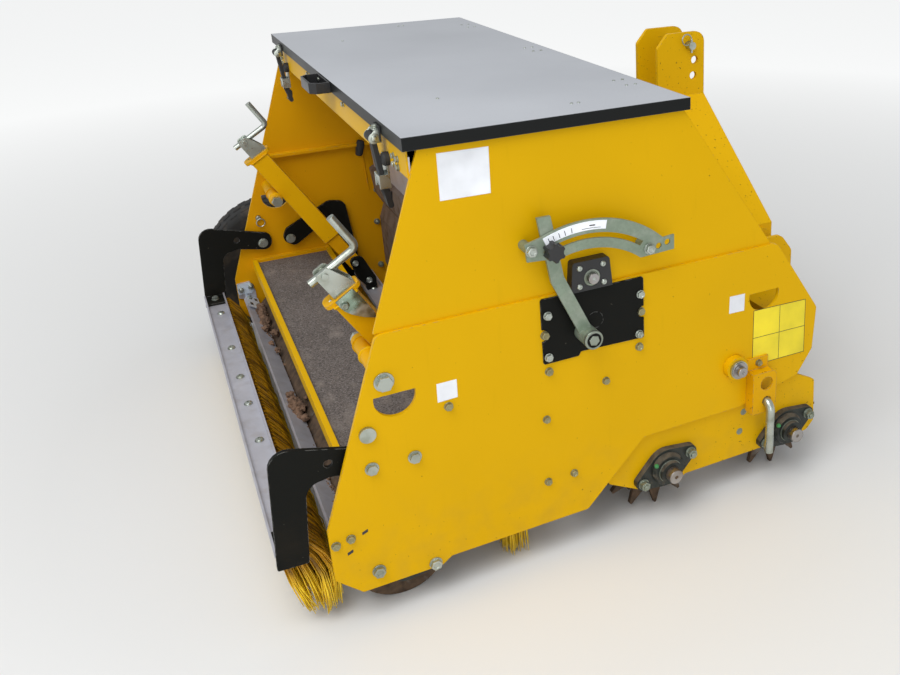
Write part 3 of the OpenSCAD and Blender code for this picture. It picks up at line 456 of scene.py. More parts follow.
@dataclass(frozen=True)
class Soiled(Finish):
    """A rough part with soil dried on it.

    Attributes:
        soil: The colour of the dried soil.
        cover: How much of it the soil covers, 0 to 1.
        top: How much more soil lies on faces that look up.
        metal: The metallic value where it is clean.
    """

    soil: Colour = (0.155, 0.085, 0.042)
    cover: float = 0.5
    top: float = 0.2
    metal: float = 0.6

    def build(self, g: Graph) -> bpy.types.Material:
        """Builds the soiled part.

        Args:
            g: The material's graph.

        Returns:
            The material.
        """
        lump = g.noise(55, 6)
        where = g.plus(g.noise(16, 4), g.times(g.facing_up(), self.top))
        where = g.plus(where, g.times(lump, 0.25))
        more = 0.45 * self.cover
        cake = g.span(where, 0.80 - more, 0.90 - more)
        earth = g.mix(g.span(lump, 0.3, 0.7), shade(self.soil, 0.45), shade(self.soil, 1.35))
        clean = g.mix(g.span(g.noise(70, 3), 0.35, 0.7), shade(self.colour, 0.6), self.colour)
        height = g.plus(g.times(cake, 0.5), g.times(g.times(lump, cake), 0.9))
        return g.finish(Base_Color=g.mix(cake, clean, earth),
                        Roughness=g.span(cake, 0, 1, self.rough, 0.93),
                        Metallic=g.span(cake, 0, 1, self.metal, 0.0),
                        Normal=g.bump(height, 0.0022, g.rounded(0.0015)))


@dataclass(frozen=True)
class Grit(Finish):
    """The deck's anti-slip floor: dark grit with pale specks and scuffed patches.

    Attributes:
        speck: The colour of its finest specks.
        pit: The colour of its dark pits.
        chip: The colour of its pale chips.
        scuff: The colour of its scuffed patches.
    """

    speck: Colour = (0.34, 0.31, 0.30)
    pit: Colour = (0.030, 0.025, 0.022)
    chip: Colour = (0.36, 0.33, 0.31)
    scuff: Colour = (0.33, 0.28, 0.24)

    def build(self, g: Graph) -> bpy.types.Material:
        """Builds the grit.

        Args:
            g: The material's graph.

        Returns:
            The material.
        """
        grain, fleck, patch = g.noise(700, 3), g.noise(260, 4), g.noise(5, 5)
        scuffed = g.noise(30, 6, g.stretch((1.0, 0.55, 1.0)))
        tone = g.mix(g.span(patch, 0.3, 0.7), shade(self.colour, 0.8), shade(self.colour, 1.15))
        tone = g.mix(g.span(grain, 0.55, 0.66, 0.0, 0.6), tone, self.speck)
        tone = g.mix(g.span(fleck, 0.45, 0.33, 0.0, 0.85), tone, self.pit)
        tone = g.mix(g.span(fleck, 0.57, 0.69, 0.0, 0.55), tone, self.chip)
        tone = g.mix(g.span(scuffed, 0.56, 0.74, 0.0, 0.5), tone, self.scuff)
        return g.finish(Base_Color=tone, Roughness=self.rough, Normal=g.bump(grain, 0.0006))


@dataclass(frozen=True)
class Fibre(Finish):
    """Polypropylene bristles with painted light and shade: paler at the tips, darker at the roots
    and along strand lines, with painted shade between the bundles.

    Attributes:
        tip: The colour at the tips.
        gap_shade: The colour between the bundles.
        pitch: The bundles' spacing in metres.
        tips: The heights above the ground that the tips' colour starts and is full at.
    """

    tip: Colour = (1.0, 0.68, 0.02)
    gap_shade: Colour = (0.10, 0.045, 0.008)
    pitch: float = 0.015
    tips: Place = (0.13, 0.085)

    def build(self, g: Graph) -> bpy.types.Material:
        """Builds the bristles' finish.

        Args:
            g: The material's graph.

        Returns:
            The material.
        """
        height = g.axis(g.place, "Z")
        high, low = self.tips
        strand = g.noise(200, 1, g.stretch((1, 1, 0.02)))
        # Painted light and shade: darker roots under the beam, paler tips near the ground.
        tone = g.mix(g.span(height, high, low), self.colour, self.tip)
        # Darker strand lines: painted shade between the strands.
        tone = g.mix(g.span(strand, 0.36, 0.50, 0.35, 0.0), tone, shade(self.colour, 0.5))
        # Darker stripes between the bundles, stronger toward the roots: painted shade.
        turn = g.times(g.axis(g.place, "Y"), 2 * math.pi / self.pitch)
        stray = g.span(g.noise(30, 2), 0, 1, -1.5, 1.5)
        between = g.span(g.maths("SINE", g.plus(turn, stray)), -0.1, -0.8)
        gap_shade = g.times(between, g.span(height, low, high, 0.0, 0.8))
        return g.finish(Base_Color=g.mix(gap_shade, tone, self.gap_shade), Roughness=self.rough)


@dataclass(frozen=True)
class Tread(Finish):
    """Tyre rubber with patches of soil dried on it.

    Attributes:
        soil: The colour of the dried soil.
    """

    soil: Colour = (0.105, 0.078, 0.052)

    def build(self, g: Graph) -> bpy.types.Material:
        """Builds the rubber.

        Args:
            g: The material's graph.

        Returns:
            The material.
        """
        patch = g.span(g.noise(26, 6), 0.50, 0.78, 0.0, 0.75)
        raised = g.bump(g.times(patch, g.noise(90, 5)), 0.0015, g.rounded(0.002))
        return g.finish(Base_Color=g.mix(patch, self.colour, self.soil), Roughness=self.rough,
                        Normal=raised)


# The yellow paint's inner colour is painted shade on faces that look inward.
YELLOW = Paint("paint_yellow", Slot.YELLOW, (0.745, 0.425, 0.0012), 0.36, gloss=0.09,
               inner=(0.70, 0.33, 0.002))
# A little more orange than the plain yellow: painted shade, in place of the inner-face shade that
# this paint lacks.
CHIPPED = Paint("paint_yellow_chipped", Slot.YELLOW, (0.735, 0.385, 0.0014), 0.36, wear=1.1,
                specks=1.1, gloss=0.09)
BLACK = Paint("paint_black", Slot.BLACK, (0.0075, 0.0078, 0.0065), 0.40, worn=(0.20, 0.20, 0.19),
              wear=0.75, specks=0.3, gloss=0.09, fleck=(0.16, 0.14, 0.11))
LID = LidPaint("paint_lid", Slot.BLACK, (0.009, 0.010, 0.010), 0.33)
GALVANISED = Plated("galvanised_sheet", Slot.GALVANISED, (0.60, 0.60, 0.66), 0.42,
                    stain_and_highlight=(0.30, 0.25, 0.20), stain_and_highlight_share=0.22, metal=0.5)
DUSTED = Plated("galvanised_dusted", Slot.GALVANISED, (0.22, 0.175, 0.15), 0.6,
                stain_and_highlight=(0.12, 0.07, 0.04), stain_and_highlight_share=0.7, metal=0.3)
ZINC = Plated("zinc_plate", Slot.ZINC, (0.50, 0.54, 0.49), 0.27, stain_and_highlight=(0.20, 0.21, 0.13),
              stain_and_highlight_share=0.5, metal=0.9)
YELLOWED = Plated("zinc_yellowed", Slot.ZINC, (0.36, 0.335, 0.19), 0.34, stain_and_highlight=(0.14, 0.11, 0.05),
                  stain_and_highlight_share=0.5, metal=0.8)
DULL_ZINC = Plated("zinc_weathered", Slot.ZINC, (0.33, 0.37, 0.31), 0.38, stain_and_highlight=(0.15, 0.17, 0.10),
                   stain_and_highlight_share=0.5, metal=0.8)
# The jacks' steel: a dark green base that is painted reflection of green surroundings, with pale
# patches of painted highlight.
REFLECTION_PAINTED_ZINC = Plated("zinc_painted_reflection", Slot.ZINC, (0.20, 0.26, 0.20), 0.2, stain_and_highlight=(0.66, 0.70, 0.66),
                     stain_and_highlight_share=0.9, metal=0.9)
OLIVE = Plated("zinc_olive", Slot.ZINC, (0.27, 0.335, 0.255), 0.45, spangle=210,
               stain_and_highlight=(0.40, 0.43, 0.36), stain_and_highlight_share=0.45, metal=0.45)
BLUE_ZINC = Plated("zinc_blue", Slot.ZINC, (0.70, 0.79, 0.90), 0.36, spangle=160,
                   stain_and_highlight=(0.44, 0.52, 0.64), stain_and_highlight_share=0.4, metal=0.2)
BRIGHT = Plated("steel_bright", Slot.ZINC, (0.43, 0.41, 0.40), 0.28, stain_and_highlight=(0.22, 0.15, 0.10),
                stain_and_highlight_share=0.5, metal=1.0)
CAST = Soiled("cast_greased", Slot.CAST, (0.040, 0.046, 0.040), 0.38,
              soil=(0.10, 0.085, 0.062), cover=0.24, top=0.5, metal=0.4)
SPIKED = Soiled("steel_soiled", Slot.SOIL, (0.26, 0.22, 0.18), 0.45,
                soil=(0.10, 0.062, 0.036), cover=0.72, top=0.1)
EARTH = Soiled("soil_clods", Slot.SOIL, (0.09, 0.06, 0.045), 0.9,
               soil=(0.19, 0.112, 0.070), cover=1.0, metal=0.0)
DECK = Grit("deck_grit", Slot.DECK, (0.122, 0.102, 0.090), 0.88)
# The bristles' root colour is darkened as painted shade; the tips are paled as painted light.
FIBRE = Fibre("bristle_lemon", Slot.BRISTLE, (0.62, 0.31, 0.008), 0.42)
PLASTIC = Finish("plastic_black", Slot.PLASTIC, (0.012, 0.012, 0.013), 0.33)
RUBBER = Finish("rubber_black", Slot.RUBBER, (0.014, 0.014, 0.014), 0.58)
TYRE = Tread("tyre_rubber", Slot.TYRE, (0.022, 0.022, 0.022), 0.85)
LABEL = Finish("label_white", Slot.PLASTIC, (0.74, 0.76, 0.80), 0.35)
LEMON = Finish("label_lemon", Slot.PLASTIC, (0.72, 0.58, 0.012), 0.35)
INK = Finish("ink_black", Slot.PLASTIC, (0.02, 0.02, 0.022), 0.45)
GREEN = Finish("nipple_green", Slot.PLASTIC, (0.04, 0.22, 0.07), 0.4)

NODE_FINISH: dict[Finish, tuple[str, ...]] = {
    YELLOW: ("side_plate_right", "side_plate_left", "hopper_end_right", "hopper_end_left",
             "hopper_rails", "deck_frame", "front_beam", "cross_tube", "headstock", "hitch_cheeks",
             "carriage_plates", "jack_rod_right", "jack_rod_left"),
    CHIPPED: ("lock_brackets", "jack_tube_right", "jack_tube_left"),
    BLACK: ("cover_plates", "rear_brush_arms", "mid_brush_arms", "wheel_case", "drive_guard",
            "wheel_rim"),
    LID: ("lid",),
    GALVANISED: ("hopper_slopes", "seed_box", "scraper_bar", "rear_brush_beam", "mid_brush_beam"),
    DUSTED: ("seed_deflector",),
    ZINC: ("top_link_pin", "carriage_pivots", "arm_pins", "jack_bolts", "lid_hinges",
           "strap_catches", "agitator", "lock_pins", "jack_crank_right", "jack_crank_left"),
    OLIVE: ("rate_quadrant", "rate_lever"),
    CAST: ("roller_bearings", "rear_bearings"),
    SPIKED: ("front_spiked_roller", "rear_spiked_roller", "rear_roller"),
    DECK: ("deck_floor",),
    FIBRE: ("rear_bristles", "mid_bristles"),
    PLASTIC: ("seed_roller", "agitator_bearings", "lid_handle", "rate_knob"),
    RUBBER: ("lid_straps",),
    TYRE: ("wheel_tyre",),
}


class Shape:
    """One mesh under construction, in machine millimetres."""

    # Degrees of a wire ring that are drawn, and its steps
    HOOP_ARC = 350
    HOOP_STEPS = 28
    # Sides of wire and weld beads
    WIRE_SIDES = 8
    # A weld ripple's length over the bead's radius
    RIPPLE = 1.6
    # A clod's broad and small swellings, each a share of its size and waves over it
    SWELLINGS = ((0.6, 1.7), (0.45, 4.3))

    def __init__(self) -> None:
        """Starts an empty mesh."""
        self.bm = bmesh.new()

    def rings(self, rings: Sequence[Sequence[Point]]) -> None:
        """Joins closed rings of as many points each into a skin and closes both ends.

        Args:
            rings: The rings in order.
        """
        made = [[self.bm.verts.new(p) for p in ring] for ring in rings]
        for low, high in zip(made, made[1:]):
            for i, vert in enumerate(low):
                j = (i + 1) % len(low)
                self.bm.faces.new((vert, low[j], high[j], high[i]))
        self.bm.faces.new(made[0][::-1])
        self.bm.faces.new(made[-1])

    def tube(self, path: Sequence[Point], radius: Union[float, Sequence[float]],
             sides: int = 14) -> None:
        """Sweeps a round bar along a path.

        Args:
            path: The points.
            radius: One radius, or one a point.
            sides: Points round the bar.
        """
        points = [Vector(p) for p in path]
        radii = [radius] * len(points) if isinstance(radius, (int, float)) else radius
        turn = [2 * math.pi * k / sides for k in range(sides)]
        across = (points[1] - points[0]).orthogonal().normalized()
        rings = []
        for i, (point, r) in enumerate(zip(points, radii)):
            along = (points[min(i + 1, len(points) - 1)] - points[max(i - 1, 0)]).normalized()
            across = (across - along * across.dot(along)).normalized()
            other = along.cross(across)
            rings.append([point + (across * math.cos(a) + other * math.sin(a)) * r for a in turn])
        self.rings(rings)

    def turned(self, origin: Point, axis: Point, rows: Rows, sides: int = 24,
               turn: float = 0.0) -> None:
        """Turns a profile about an axis.

        Args:
            origin: The axis's start.
            axis: Its direction.
            rows: Height along the axis and radius, in order.
            sides: Points round it, 6 for a hexagon.
            turn: A turn about the axis, in degrees.
        """
        start, along = Vector(origin), Vector(axis).normalized()
        across = along.orthogonal().normalized()
        other = along.cross(across)
        angles = [2 * math.pi * k / sides + math.radians(turn) for k in range(sides)]
        self.rings([[start + along * h + (across * math.cos(a) + other * math.sin(a)) * r
                     for a in angles] for h, r in rows])

    def slab(self, outline: Sequence[Point], depth: Point) -> None:
        """Extrudes a flat outline.

        Args:
            outline: Its corners in 3D.
            depth: The vector to its other face.
        """
        step = Vector(depth)
        corners = [Vector(p) for p in outline]
        self.rings([corners, [p + step for p in corners]])

    def plate(self, outline: Sequence[Place], y0: float, y1: float) -> None:
        """Extrudes an X-Z outline from one Y to another."""
        self.slab([(x, y0, z) for x, z in outline], (0, y1 - y0, 0))

    def bar(self, start: Point, end: Point, width: Point, height: Point) -> None:
        """Adds a square bar between two points, its width and height given as full vectors."""
        a, w, h = Vector(start), Vector(width) / 2, Vector(height) / 2
        self.slab([a - w - h, a + w - h, a + w + h, a - w + h], Vector(end) - a)

    def hoop(self, centre: Point, first: Point, second: Point, radius: float, wire: float) -> None:
        """Adds a ring of wire.

        Args:
            centre: Its middle.
            first: One direction in its plane.
            second: Another one.
            radius: Its radius.
            wire: The wire's radius.
        """
        u, v = Vector(first).normalized(), Vector(second)
        v = (v - u * v.dot(u)).normalized()
        angles = [math.radians(self.HOOP_ARC * k / self.HOOP_STEPS)
                  for k in range(self.HOOP_STEPS + 1)]
        self.tube([Vector(centre) + (u * math.cos(a) + v * math.sin(a)) * radius for a in angles],
                  wire, self.WIRE_SIDES)

    def weld(self, start: Point, end: Point, radius: float, seed: int) -> None:
        """Adds a weld bead with its ripples.

        Args:
            start: Its start.
            end: Its end.
            radius: Its mean radius.
            seed: Sets its ripples.
        """
        random = Random(seed)
        a, b = Vector(start), Vector(end)
        steps = max(4, int((b - a).length / (radius * self.RIPPLE)))
        radii = [radius * random.uniform(*((0.75, 1.0) if k % 2 else (1.0, 1.25)))
                 for k in range(steps + 1)]
        self.tube([a.lerp(b, k / steps) for k in range(steps + 1)], radii, self.WIRE_SIDES)

    def clod(self, centre: Point, size: Point, seed: int, detail: int = 2) -> None:
        """Adds a rough lump.

        Args:
            centre: Its middle.
            size: Its half sizes.
            seed: Sets its form.
            detail: Its subdivisions.
        """
        ball = bmesh.ops.create_icosphere(self.bm, subdivisions=detail, radius=1.0)["verts"]
        (broad, long), (small, short) = self.SWELLINGS
        for vert in ball:
            spot = vert.co + Vector((seed * 3.1, seed, 0))
            swell = 1 + broad * noise.noise(spot * long) + small * noise.noise(spot * short)
            vert.co = Vector(centre) + Vector([c * s * swell for c, s in zip(vert.co, size)])

    def bevel(self, width: float) -> None:
        """Rounds every edge sharper than 40 degrees.

        Args:
            width: The rounding's width.
        """
        self.bm.normal_update()
        bmesh.ops.recalc_face_normals(self.bm, faces=self.bm.faces)
        sharp = [edge for edge in self.bm.edges
                 if len(edge.link_faces) == 2 and edge.calc_face_angle(0) > math.radians(40)]
        bmesh.ops.bevel(self.bm, geom=sharp, offset=width, segments=2, profile=0.5,
                        affect="EDGES", clamp_overlap=True)

    def mirrored(self) -> None:
        """Adds the mirror image across the centre line."""
        whole = self.bm.verts[:] + self.bm.edges[:] + self.bm.faces[:]
        copy = bmesh.ops.duplicate(self.bm, geom=whole)["geom"]
        for item in copy:
            if isinstance(item, bmesh.types.BMVert):
                item.co.y = -item.co.y
        faces = [item for item in copy if isinstance(item, bmesh.types.BMFace)]
        bmesh.ops.reverse_faces(self.bm, faces=faces)

    def swapped(self) -> None:
        """Moves the shape to the other side of the centre line."""
        for vert in self.bm.verts:
            vert.co.y = -vert.co.y

    def done(self, name: str, finish: Finish, body: str, crease: float = 32.0) -> Thing:
        """Turns the mesh into a finished piece that rides on a body.

        Args:
            name: The piece's name.
            finish: Its finish.
            body: The body that it moves with.
            crease: Edges sharper than this stay sharp, in degrees.

        Returns:
            The piece.
        """
        bmesh.ops.recalc_face_normals(self.bm, faces=self.bm.faces)
        limit = math.radians(crease)
        for face in self.bm.faces:
            face.smooth = True
        for edge in self.bm.edges:
            edge.smooth = len(edge.link_faces) == 2 and edge.calc_face_angle(0) < limit
        mesh = bpy.data.meshes.new(name)
        self.bm.to_mesh(mesh)
        self.bm.free()
        mesh.transform(Matrix.Scale(MM, 4) @ Matrix.Translation(DATUM))
        return settle(mesh, finish, body)


def settle(mesh: bpy.types.Mesh, finish: Finish, body: str) -> Thing:
    """Puts a finished mesh into the scene and reports it.

    Args:
        mesh: The mesh, in metres in the frame's own axes.
        finish: Its finish.
        body: The body that it moves with.

    Returns:
        The piece.
    """
    thing = bpy.data.objects.new(mesh.name, mesh)
    bpy.context.scene.collection.objects.link(thing)
    mesh.materials.append(finish.material())
    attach(thing, body)
    LOG.info("%s: %d faces on %s", mesh.name, len(mesh.polygons), body)
    return thing


def sides_of(corners: Places) -> list[tuple[Place, Place]]:
    """Returns the sides of a closed outline, each as its two corners."""
    return list(zip(corners, corners[1:] + corners[:1]))


@dataclass(frozen=True)
class Fastenings:
    """Draws fastenings into a shape, every part of them sized from the thread.

    Attributes:
        washer: The washer's radius over the thread's.
        across: The head's corner radius over the thread's.
        thick: The washer's thickness over the thread's diameter.
        head: A bolt head's height over the thread's diameter.
        nut: A nut's height over the thread's diameter.
        rim: The chamfer round the washer.
    """

    washer: float = 1.92
    across: float = 1.70
    thick: float = 0.22
    head: float = 0.62
    nut: float = 0.85
    rim: float = 0.3

    def hexagon(self, kind: Head, size: float) -> list[tuple[Rows, int]]:
        """Lays out a dished hexagon head, or a nut with its thread, on a washer.

        Args:
            kind: Head.HEX or Head.NUT.
            size: The thread's diameter.

        Returns:
            The profile of each part, with its number of sides.
        """
        r = size / 2
        w, c = self.washer * r, self.across * r
        thick = self.thick * size
        top = thick + (self.head if kind is Head.HEX else self.nut) * size
        washer = [(0, w - self.rim), (self.rim, w), (thick - self.rim, w), (thick, w - self.rim)]
        head = [(thick, c * 0.95), (thick + 0.4, c), (top - 0.5, c), (top, c * 0.88),
                (top, c * 0.58), (top - 0.09 * size, c * 0.48)]
        parts = [(washer, 28), (head, HEXAGON)]
        if kind is Head.NUT:
            parts.append(([(thick, r), (top + 0.28 * size, r), (top + 0.36 * size, r * 0.8)], 16))
        return parts

    def button(self, kind: Head, size: float) -> list[tuple[Rows, int]]:
        """Lays out a round head.

        Args:
            kind: Head.DOME, Head.SUNK or Head.PIN.
            size: The thread's diameter.

        Returns:
            Its profile, with its number of sides.
        """
        r = size / 2
        c = self.across * r
        if kind is Head.DOME:
            return [([(0, c), (0.12 * size, c), (0.38 * size, c * 0.8), (0.5 * size, c * 0.42),
                      (0.5 * size, r * 0.5), (0.3 * size, r * 0.45)], 20)]
        if kind is Head.SUNK:
            return [([(0, c), (0.35, c * 0.97), (0.35, r * 0.62), (0.05, r * 0.55)], 20)]
        return [([(0, c), (0.3 * size, c), (0.42 * size, c * 0.92)], 28)]

    def add(self, shape: Shape, kind: Head, foot: Point, axis: Point, size: float,
            turn: float = 11.0) -> None:
        """Adds one fastening.

        Args:
            shape: The shape that takes it.
            kind: Its kind.
            foot: Where its axis meets the face that it sits on.
            axis: The direction away from that face.
            size: The thread's diameter.
            turn: The hexagon's turn, in degrees.
        """
        lay_out = self.hexagon if kind in (Head.HEX, Head.NUT) else self.button
        for rows, sides in lay_out(kind, size):
            shape.turned(foot, axis, rows, sides, turn if sides == HEXAGON else 0.0)


FIXINGS = Fastenings()


@dataclass(frozen=True)
class BoltRow:
    """Fastenings of one kind and size on one upright plane, on both sides of the machine.

    Attributes:
        name: The piece's name.
        kind: Their kind.
        size: Their thread's diameter.
        y: The plane that they sit on, from the centre line.
        places: Their X and Z.
        finish: Their finish.
        body: The body that they move with.
        out: 1 where they look outward, -1 where they look inward.
        both: Whether both sides have them, or the right side alone.
        turn: The first hexagon's turn, in degrees.
        step: What each next one is turned further, as no two are alike.
    """

    name: str
    kind: Head
    size: float
    y: float
    places: Places
    finish: Finish = ZINC
    body: str = "frame"
    out: int = 1
    both: bool = True
    turn: float = 7.0
    step: float = 17.0

    def build(self) -> None:
        """Makes the row as one piece."""
        shape = Shape()
        axis = (0, -self.out, 0)
        for i, (x, z) in enumerate(self.places):
            turn = self.step * i + self.turn
            FIXINGS.add(shape, self.kind, (x, -self.y, z), axis, self.size, turn)
        if self.both:
            shape.mirrored()
        shape.done(self.name, self.finish, self.body)


class Assembly:
    """What every sub-assembly shares: its bolt rows and the call that builds it."""

    rows: tuple[BoltRow, ...] = ()

    def pieces(self) -> None:
        """Makes what the sub-assembly has beside its bolt rows."""

    def build(self) -> None:
        """Makes every piece and reports it."""
        for row in self.rows:
            row.build()
        self.pieces()
        LOG.info("%s is dressed", type(self).__name__)


@dataclass(frozen=True)
class Sticker:
    """A thin blank label on an upright face.

    Attributes:
        name: The piece's name.
        corners: Its X and Z corners.
        y: The face that it sticks to, from the centre line.
        finish: Its finish.
        sides: The sides of the machine that have it.
        thick: Its thickness.
    """

    name: str
    corners: Places
    y: float
    finish: Finish = LABEL
    sides: tuple[Side, ...] = (Side.RIGHT,)
    thick: float = 0.35

    def build(self) -> None:
        """Makes the label on each of its sides."""
        for side in self.sides:
            shape = Shape()
            y = self.y * side.value
            shape.plate(self.corners, y, y + self.thick * side.value)
            shape.done(f"{self.name}_{side.name.lower()}", self.finish, "frame")


@dataclass(frozen=True)
class SidePlates(Assembly):
    """The side plates' bolts, slots, blank labels and weld beads.

    Attributes:
        face: Outer face of the side plates, from the centre line.
        inner: Their inner face.
        cover: Outer face of the cover plates.
        carriage: Outer face of the carriage plates.
        bracket: Inner face of the scraper bar's end brackets.
        tab: Outer face of the lock brackets' tabs.
        slots: X and Z of the slots that set the scraper bar.
        slot_half: Half a slot's length along X.
        slot_rise: What it climbs over that length.
        rear_label: X and Z of the rear label's corners.
        front_label: The same of the front label.
        lemon_label: The same of the large label with four fields.
        bead_inset: From the inner face to the middle of a bead on it.
        deck_bead: First and last X, and Z, of the bead along the deck.
        flange_bead: First and last X, Y and Z of the bead along the top flange.
        upright_bead: The ends, in X and Z, of the bead up the hopper's throat.
        tubes: First and last X, lowest and highest Z of the tubes between the plates.
    """

    face: float = 628.0
    inner: float = 620.0
    cover: float = 631.0
    carriage: float = 618.0
    bracket: float = 615.0
    tab: float = 633.0
    slots: Places = ((-616, 189), (-645, 157))
    slot_half: float = 5.0
    slot_rise: float = 2.0
    rear_label: Places = ((-466, 401), (-465, 437), (-429, 437), (-430, 402))
    front_label: Places = ((132, 424), (133, 461), (169, 460), (168, 423))
    lemon_label: Places = ((192, 292), (192, 416), (322, 412), (324, 290))
    bead_inset: float = 1.5
    deck_bead: tuple[float, float, float] = (-622, -414, 260)
    flange_bead: tuple[float, float, float, float] = (-545, 232, -616.5, 552.5)
    upright_bead: Places = ((-285, 520), (-280, 408))
    tubes: tuple[tuple[float, float, float, float], ...] = ((-92, -32, 300, 360),
                                                            (262, 342, 300, 380))
    rows = (
        BoltRow("frame_bolts_small", Head.HEX, 8, face,
                ((-144, 353), (-268, 307), (-218, 173), (-272, 172)), YELLOWED),
        BoltRow("frame_bolts_mid", Head.HEX, 8.5, face,
                ((-448, 389), (-258, 404), (-72, 406), (-667, 180), (-641, 185)), YELLOWED),
        BoltRow("frame_bolts_large", Head.HEX, 12.5, face, ((-602, 101), (-501, 76))),
        BoltRow("frame_nuts", Head.NUT, 9, inner,
                ((-258, 404), (-268, 307), (-272, 172), (-218, 173), (-144, 353)), DULL_ZINC,
                out=-1),
        BoltRow("frame_bolt_back", Head.DOME, 8, inner, ((-448, 389),), DULL_ZINC, out=-1),
        BoltRow("cover_bolts", Head.HEX, 8.5, cover,
                ((-256, 516), (-258, 434), (-69, 515), (-73, 434))),
        BoltRow("notch_bolts", Head.HEX, 9, face, ((-262, 478), (-68, 479)), YELLOWED),
        BoltRow("scraper_nuts", Head.NUT, 9, bracket, ((-667, 180), (-641, 185)), out=-1),
        BoltRow("carriage_studs", Head.SUNK, 9, carriage, ((181, 180), (172, 135)), DULL_ZINC),
        BoltRow("lock_tab_bolts", Head.HEX, 8, tab, ((204, 298),), YELLOWED),
    )

    def slotted_holes(self) -> None:
        """Makes the slots that the scraper bar is set by, as thin black films: painted shade in
        their openings.
        """
        shape = Shape()
        y = -self.face - 0.15
        for x, z in self.slots:
            shape.bar((x - self.slot_half, y, z - self.slot_rise),
                      (x + self.slot_half, y, z + self.slot_rise), (0, 0.5, 0), (0, 0, 5.5))
        shape.mirrored()
        shape.done("frame_slot_shade", INK, "frame")

    def labels(self) -> None:
        """Makes the blank labels where the machine carries its own."""
        both = (Side.RIGHT, Side.LEFT)
        Sticker("label_rear", self.rear_label, self.face, sides=both).build()
        Sticker("label_front", self.front_label, self.face, sides=both).build()
        Sticker("label_lemon", self.lemon_label, self.face, LEMON, both, 0.25).build()
        edges = sides_of(self.lemon_label)
        middles = [((a[0] + b[0]) / 2, (a[1] + b[1]) / 2) for a, b in edges]
        y = -self.face - 0.2
        lines = Shape()
        for a, b in (*edges, (middles[0], middles[2]), (middles[1], middles[3])):
            lines.tube([(a[0], y, a[1]), (b[0], y, b[1])], 0.55, 6)
        lines.mirrored()
        lines.done("label_lines", INK, "frame")

    def welds(self) -> None:
        """Makes the weld beads along the deck, the flanges, the hopper and the tubes."""
        shape = Shape()
        y = -self.inner + self.bead_inset
        x0, x1, z = self.deck_bead
        shape.weld((x0, y, z), (x1, y, z), 2.6, 3)
        x0, x1, under, z = self.flange_bead
        shape.weld((x0, under, z), (x1, under, z), 2.0, 5)
        (x0, z0), (x1, z1) = self.upright_bead
        shape.weld((x0, y, z0), (x1, y, z1), 1.4, 6)
        for x0, x1, z0, z1 in self.tubes:
            for a, b in sides_of(((x0, z0), (x1, z0), (x1, z1), (x0, z1))):
                shape.weld((a[0], y, a[1]), (b[0], y, b[1]), 3.2, int(a[0] + a[1]))
        shape.mirrored()
        shape.done("frame_welds", YELLOW, "frame", WELD_CREASE)

    def pieces(self) -> None:
        """Makes the slots, labels and welds."""
        self.slotted_holes()
        self.labels()
        self.welds()


@dataclass(frozen=True)
class Hopper(Assembly):
    """The hopper's blank label, mouth bolts, inner screws and rubber stop.

    Attributes:
        end: Outer face of the hopper's ends, from the centre line.
        inner: Their inner face.
        rail: Rear face of the rear rail.
        label: X and Z of the label's corners.
        catch_ys: Y of the strap catches' screws.
        catch_zs: Their heights.
        screw_ys: Y of the rail's own screws.
        screw_z: Their height.
        stop: The foot of the rubber stop's axis.
        stop_axis: Its direction.
    """

    end: float = 622.0
    inner: float = 616.0
    rail: float = -472.0
    label: Places = ((-426, 757), (-425, 836), (-338, 835), (-340, 756))
    catch_ys: tuple[float, ...] = (-565, -540, 565, 540)
    catch_zs: tuple[float, ...] = (806, 820)
    screw_ys: tuple[float, ...] = (-180, 180)
    screw_z: float = 836
    stop: tuple[float, float, float] = (-299, 604, 516)
    stop_axis: tuple[float, float, float] = (0.25, 0, 1)
    rows = (
        BoltRow("hopper_end_screws", Head.DOME, 6, inner,
                ((-440, 840), (-300, 846), (-140, 846), (-10, 840), (-462, 700), (60, 690)),
                YELLOWED, out=-1),
    )

    def screws(self) -> None:
        """Makes the screws in the rear rail."""
        shape = Shape()
        places = [(y, z) for y in self.catch_ys for z in self.catch_zs]
        for y, z in (*places, *((y, self.screw_z) for y in self.screw_ys)):
            FIXINGS.add(shape, Head.HEX, (self.rail, y, z), REARWARD, 6, y)
        shape.done("rail_screws", ZINC, "frame")

    def pieces(self) -> None:
        """Makes the label, the screws of the rail and the rubber stop."""
        Sticker("label_end", self.label, self.end).build()
        self.screws()
        shape = Shape()
        shape.turned(self.stop, self.stop_axis, [(0, 7), (3, 10), (34, 12), (44, 9)], 20)
        shape.done("rubber_stop", RUBBER, "frame")


